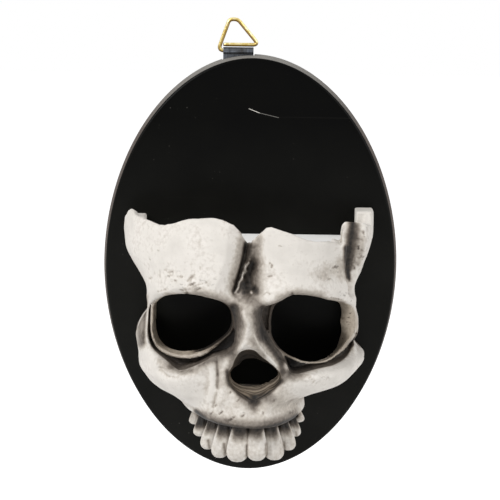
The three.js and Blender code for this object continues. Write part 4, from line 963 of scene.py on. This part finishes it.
for tool in tools:
    cut = blank.modifiers.new("cut", "BOOLEAN")
    cut.operation, cut.solver, cut.object = "DIFFERENCE", "EXACT", tool
bpy.context.view_layer.update()
plate_mesh = bpy.data.meshes.new_from_object(blank.evaluated_get(bpy.context.evaluated_depsgraph_get()))
for tool in (blank, *tools):
    bpy.data.objects.remove(tool)
plate_mesh.name = "oval_plate"
plate_mesh.materials.clear()
plate_mesh.shade_smooth()
plate_mesh.set_sharp_from_angle(angle=np.radians(32))
plate = new_piece("oval_plate", plate_mesh, "holder")
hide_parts("back_plate")
spots = np.empty(len(plate_mesh.vertices) * 3)
plate_mesh.vertices.foreach_get("co", spots)
spot_y = spots[1::3] / MM
add_layer(plate, "edge", ((spot_y > plate_face + 0.6) & (spot_y < -0.3)).astype(float))

# Gloss nitro lacquer on board: deep black with a clear, slightly wavy shine. Dust sits in it as specks of 0.3 mm,
# hair scratches run a few centimetres, and the sawn edge shows a little grey-brown where the coat is thin. The lower
# half of the face is a lighter black as a painted sheen, and the edge is lighter towards the top as painted light.
lacquer, tree, shader = new_finish("gloss_black_lacquer")
place = add_node(tree, "TexCoord", "Object")
edge = add_node(tree, "Attribute", "Fac", attribute_name="edge")
cloud = add_node(tree, "TexNoise", in_Vector=place, in_Scale=60.0, in_Detail=3.0)
dust = add_node(tree, "TexVoronoi", "Distance", in_Vector=place, in_Scale=420.0)
speck = add_node(tree, "ValToRGB", in_0=dust, stops=((0.035, "#FFFFFF"), (0.09, "#000000")))
sparse = add_node(tree, "ValToRGB", in_0=cloud, stops=((0.56, "#000000"), (0.66, "#FFFFFF")))
speck = add_node(tree, "Math", operation="MULTIPLY", in_0=speck, in_1=sparse)
lines = []
for angle, scale in ((0.5, (9.0, 1.0, 1400.0)), (-0.25, (1100.0, 1.0, 8.0))):
    turned_place = add_node(tree, "Mapping", in_Vector=place, in_Rotation=(0, angle, 0), in_Scale=scale)
    hair = add_node(tree, "TexNoise", in_Vector=turned_place, in_Scale=1.0, in_Detail=1.0)
    lines.append(add_node(tree, "ValToRGB", in_0=hair, stops=((0.76, "#000000"), (0.84, "#FFFFFF"))))
hairs = add_node(tree, "Math", operation="MAXIMUM", in_0=lines[0], in_1=lines[1])
marks = add_node(tree, "Math", operation="MULTIPLY_ADD", use_clamp=True, in_0=hairs, in_1=0.16, in_2=speck)
# painted sheen: the black is deepest at the top and lighter on the lower half
black = add_node(tree, "ValToRGB", in_0=cloud, stops=((0.35, "#020202"), (0.7, "#040403")))
lower_sheen_black = add_node(tree, "ValToRGB", in_0=cloud, stops=((0.35, "#121210"), (0.7, "#171715")))
off_wall, up = (add_node(tree, "SeparateXYZ", axis, in_0=place) for axis in "YZ")
lower = add_node(tree, "MapRange", in_0=up, in_1=0.05, in_2=0.0)
black = add_node(tree, "Mix", 2, data_type="RGBA", in_0=lower, in_6=black, in_7=lower_sheen_black)
face = add_node(tree, "Mix", 2, data_type="RGBA", in_0=marks, in_6=black, in_7="#4A4844")
# one hair scratch on the front, 11 mm long with a bend in it, bright where it is deep
in_front = add_node(tree, "Math", operation="LESS_THAN", in_0=off_wall, in_1=-0.0065)
for start, end, strength in (((-1.2, 53.6), (2.4, 52.2), 1.0), ((2.4, 52.2), (8.9, 50.7), 0.22)):
    start, end = np.array(start) * MM, np.array(end) * MM
    half_run = np.linalg.norm(end - start) / 2
    way = (end - start) / half_run / 2
    along, across = (add_node(tree, "VectorMath", "Value", operation="DOT_PRODUCT", in_0=place, in_1=(dx, 0.0, dz))
                     for dx, dz in (way, (-way[1], way[0])))
    shares = (
        add_node(tree, "Math", operation="COMPARE", in_0=along, in_1=way @ (start + end) / 2, in_2=half_run),
        add_node(tree, "Math", operation="COMPARE", in_0=across, in_1=way[0] * start[1] - way[1] * start[0],
                 in_2=0.0001),
        in_front)
    on_line = strength
    for share in shares:
        on_line = add_node(tree, "Math", operation="MULTIPLY", in_0=share, in_1=on_line)
    face = add_node(tree, "Mix", 2, data_type="RGBA", in_0=on_line, in_6=face, in_7="#D8D4CC")
side = add_node(tree, "ValToRGB", in_0=cloud, stops=((0.35, "#4A423D"), (0.7, "#625A54")))
# painted light: the edge is lighter towards the plate's top
upper = add_node(tree, "MapRange", in_0=up, in_1=0.045, in_2=0.069)
side = add_node(tree, "Mix", 2, data_type="RGBA", in_0=upper, in_6=side, in_7="#8C8984")
both = add_node(tree, "Mix", 2, data_type="RGBA", in_0=edge, in_6=face, in_7=side)
rough = add_node(tree, "Math", operation="MULTIPLY_ADD", in_0=marks, in_1=0.3, in_2=0.28)
rough = add_node(tree, "Math", operation="MULTIPLY_ADD", in_0=edge, in_1=0.4, in_2=rough)
bump = add_node(tree, "Bump", in_Height=marks, in_Strength=0.15, in_Distance=0.00005)
set_node(tree, shader, in_Base_Color=both, in_Roughness=rough, in_Normal=bump, in_Specular_IOR_Level=0.05)
plate_mesh.materials.append(lacquer)

# ---------------------------------------------------------------------------
# The fixings: four countersunk screws with cross recesses that hold the skull, and two round-headed nails for
# the strip. All are the CAD's own, zinc plated.
# ---------------------------------------------------------------------------
# Bright zinc plate on steel: a bluish grey metal, cloudy over 2 mm
zinc, tree, shader = new_finish("zinc_plated_steel")
place = add_node(tree, "TexCoord", "Object")
cloud = add_node(tree, "TexNoise", in_Vector=place, in_Scale=500.0, in_Detail=3.0)
grey = add_node(tree, "ValToRGB", in_0=cloud, stops=((0.3, "#9DA1A5"), (0.7, "#BDBFC0")))
rough = add_node(tree, "MapRange", in_0=cloud, in_3=0.28, in_4=0.45)
set_node(tree, shader, in_Base_Color=grey, in_Roughness=rough, in_Metallic=1.0)
for node in ("skull_screw_upper_left", "skull_screw_upper_right", "skull_screw_lower_left", "skull_screw_lower_right",
             "strap_nail_left", "strap_nail_right"):
    refinish(node, zinc)

# ---------------------------------------------------------------------------
# The strap: a strip of sheet steel, rolled round the ring's bar at its top. Its leaf lies in the plate's back,
# and the nails go through it.
# ---------------------------------------------------------------------------
strap_sheet = 0.35
leaf_y = -0.9
roll_y, roll_inner, roll_open = -2.1, 0.85, 0.09
roll_turn = np.linspace(0, 2 * np.pi * (1 - roll_open), 48)
# the sheet's two sides, seen from its end: up the leaf and round the roll
outer_line, inner_line = (np.array(
    [(leaf_y - off_back, z) for z in (leaf_end, 64.0, 70.0)]
    + [(roll_y + radius * np.cos(t), roll_z + radius * np.sin(t)) for t in roll_turn])
    for off_back, radius in ((0.0, roll_inner + strap_sheet), (strap_sheet, roll_inner)))
section = np.concatenate([outer_line, inner_line[::-1]])
# the sheared edge: each end ring of the sheet's closed section is drawn in towards the sheet's own middle line
widths = np.array([-10.1, -10.03, -9.85, -0.15, 0.03, 0.1])
drawn_in = np.array([0.06, 0.02, 0.0, 0.0, 0.02, 0.06])
middle_line = (outer_line + inner_line) / 2
to_middle = np.concatenate([middle_line, middle_line[::-1]]) - section
to_middle /= np.linalg.norm(to_middle, axis=1, keepdims=True)
rings = [np.column_stack([np.full(len(section), w), section + to_middle * e]) for w, e in zip(widths, drawn_in)]
count, rows = len(section), len(rings)
a, b = np.meshgrid(np.arange(rows - 1) * count, np.arange(count), indexing="ij")
beside = (b + 1) % count
strap_faces = np.stack([a + b, a + count + b, a + count + beside, a + beside], -1).reshape(-1, 4).tolist()
for start, step in ((0, 1), ((rows - 1) * count, -1)):
    strap_faces += [[start + i, start + i + 1, start + count - 2 - i, start + count - 1 - i][::step]
                    for i in range(count // 2 - 1)]
strap = new_piece("rolled_strap", new_mesh("rolled_strap", np.concatenate(rings), strap_faces), "holder")
strap.data.set_sharp_from_angle(angle=np.radians(40))
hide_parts("hanger_strap")

# Bright cold-rolled steel strip: grey metal with rolling lines along it 0.15 mm apart and a little tarnish
strip_steel, tree, shader = new_finish("bright_rolled_steel_strip")
place = add_node(tree, "TexCoord", "Object")
drawn = add_node(tree, "Mapping", in_Vector=place, in_Scale=(6500.0, 200.0, 200.0))
lines = add_node(tree, "TexNoise", in_Vector=drawn, in_Scale=1.0, in_Detail=2.0)
tarnish_and_shade = add_node(tree, "TexNoise", in_Vector=place, in_Scale=350.0, in_Detail=3.0)
bright = add_node(tree, "ValToRGB", in_0=lines, stops=((0.3, "#43474D"), (0.7, "#6B6F75")))
dull = add_node(tree, "ValToRGB", in_0=tarnish_and_shade, stops=((0.45, "#FFFFFF"), (0.75, "#A99F92")))
grey = add_node(tree, "Mix", 2, data_type="RGBA", blend_type="MULTIPLY", in_0=1.0, in_6=bright, in_7=dull)
bump = add_node(tree, "Bump", in_Height=lines, in_Strength=0.3, in_Distance=0.00005)
set_node(tree, shader, in_Base_Color=grey, in_Normal=bump, in_Metallic=1.0, in_Roughness=0.38)
strap.data.materials.append(strip_steel)

# ---------------------------------------------------------------------------
# The ring: one length of 1.3 mm brass plated wire, bent to a triangle. It starts inside the strap's roll, goes up
# over the top, comes down and ends over the roll, and it swings on the roll.
# ---------------------------------------------------------------------------
wire_radius = 0.65
# x, height and the length along the wire over which a corner is bent
corners = np.array([(-0.7, roll_z, 0), (-11.85, roll_z, 2.2), (-8.1, 83.1375, 1.25), (-5.3, 83.1375, 1.25),
                    (1.85, 74.6875, 2.2), (-10.1, 74.6875, 0)])


def straight_to(path, place):
    """Eleven even steps from a path's end to a place: the end plus growing shares of the way."""
    return list(path[-1] + (place - path[-1]) * np.linspace(0, 1, 12)[1:, None])


path = [corners[0, :2]]
for before, (*here, reach), after in zip(corners[:-2, :2], corners[1:-1], corners[2:, :2]):
    # a bend is a quadratic curve between the points a reach before and after the corner
    here = np.array(here)
    into = here + (before - here) / np.linalg.norm(before - here) * reach
    away_from = here + (after - here) / np.linalg.norm(after - here) * reach
    t = np.linspace(0, 1, 14)[:, None]
    path += straight_to(path, into)
    path += list(((1 - t) ** 2 * into + 2 * t * (1 - t) * here + t ** 2 * away_from)[1:])
path = np.array(path + straight_to(path, corners[-1, :2]))
heading = np.gradient(path, axis=0)
heading /= np.linalg.norm(heading, axis=1, keepdims=True)
wire_turn = np.linspace(0, 2 * np.pi, 20, endpoint=False)
# a round section carried along the path, with its cut ends eased; painted shade darkens it where it faces down
rings, underside_shade = [], []
for at, way in zip(path, heading):
    off = np.outer(np.cos(wire_turn), (-way[1], 0, way[0])) + np.outer(np.sin(wire_turn), (0, 1, 0))
    rings.append(np.array([at[0], roll_y, at[1]]) + wire_radius * off)
    underside_shade.append(eased(-0.6, 0.4, -off[:, 2]))
for end in (0, -1):
    rings[end] = rings[end].mean(0) + (rings[end] - rings[end].mean(0)) * 0.8
wire = new_piece("wire_ring", new_mesh("wire_ring", *lathed_rings(rings)), "ring")
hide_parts("hanger_ring")
add_layer(wire, "tarnish_and_shade", np.concatenate([*underside_shade, [0.5, 0.5]]))

# Brass plate on drawn wire: warm yellow metal, pale in patches, with draw lines and darker specks of 0.4 mm, and
# painted shade on the side that faces down
brass, tree, shader = new_finish("brass_plated_drawn_wire")
place = add_node(tree, "TexCoord", "Object")
cloud = add_node(tree, "TexNoise", in_Vector=place, in_Scale=900.0, in_Detail=4.0)
tarnish_and_shade = add_node(tree, "Attribute", "Fac", attribute_name="tarnish_and_shade")
clean = add_node(tree, "ValToRGB", in_0=cloud, stops=((0.3, "#D2B868"), (0.5, "#ECD890"), (0.7, "#FCF2C4")))
# painted shade: the wire is darker where it faces down
yellow = add_node(tree, "Mix", 2, data_type="RGBA", in_0=tarnish_and_shade, in_6=clean, in_7="#644810")
bump = add_node(tree, "Bump", in_Height=cloud, in_Strength=0.25, in_Distance=0.00008)
set_node(tree, shader, in_Base_Color=yellow, in_Normal=bump, in_Metallic=1.0, in_Roughness=0.3)
wire.data.materials.append(brass)

# ---------------------------------------------------------------------------
# The studio: a pale floor just below the holder, a white surround and soft light from the front and above.
# ---------------------------------------------------------------------------
scene.view_settings.view_transform = "Standard"
floor_reach, floor_z = 3.0, -0.13
floor_mesh = bpy.data.meshes.new("floor")
floor_mesh.from_pydata([(x * floor_reach, y * floor_reach, floor_z) for x, y in ((-1, -1), (1, -1), (1, 1), (-1, 1))],
                       [], [(0, 1, 2, 3)])
floor = bpy.data.objects.new("floor", floor_mesh)
scene.collection.objects.link(floor)


def shown_white(tree):
    """1 for the rays by which the camera sees a surface, straight, in a reflection or through glass, and else 0."""
    seen = add_node(tree, "LightPath", "Is Camera Ray")
    for ray in ("Is Transmission Ray", "Is Glossy Ray"):
        seen = add_node(tree, "Math", operation="MAXIMUM", in_0=seen, in_1=add_node(tree, "LightPath", ray))
    return seen


floor_paint, tree, shader = new_finish("pale_floor")
glow = add_node(tree, "Math", operation="MULTIPLY", in_0=shown_white(tree), in_1=0.75)
set_node(tree, shader, in_Base_Color="#F4F4F4", in_Roughness=0.9, in_Specular_IOR_Level=0.0,
         in_Emission_Color="#FFFFFF", in_Emission_Strength=glow)
floor_mesh.materials.append(floor_paint)

scene.world = bpy.data.worlds.new("studio")
scene.world.use_nodes = True
tree = scene.world.node_tree
level = add_node(tree, "MapRange", in_0=shown_white(tree), in_3=0.34, in_4=1.0)
set_node(tree, tree.nodes["Background"], in_Color="#FFFFFF", in_Strength=level)


def soft_lamp(name, place, size, watts):
    """A square lamp at a place in metres, turned to the plate's middle."""
    data = bpy.data.lights.new(name, "AREA")
    data.shape, data.size, data.energy = "SQUARE", size, watts
    lamp = bpy.data.objects.new(name, data)
    lamp.location = place
    lamp.rotation_euler = (-Vector(place)).to_track_quat("-Z", "Y").to_euler()
    scene.collection.objects.link(lamp)


soft_lamp("key", (-0.65, -0.55, 0.62), 0.5, 8.0)
soft_lamp("fill", (0.75, -0.45, 0.35), 0.6, 3.7)
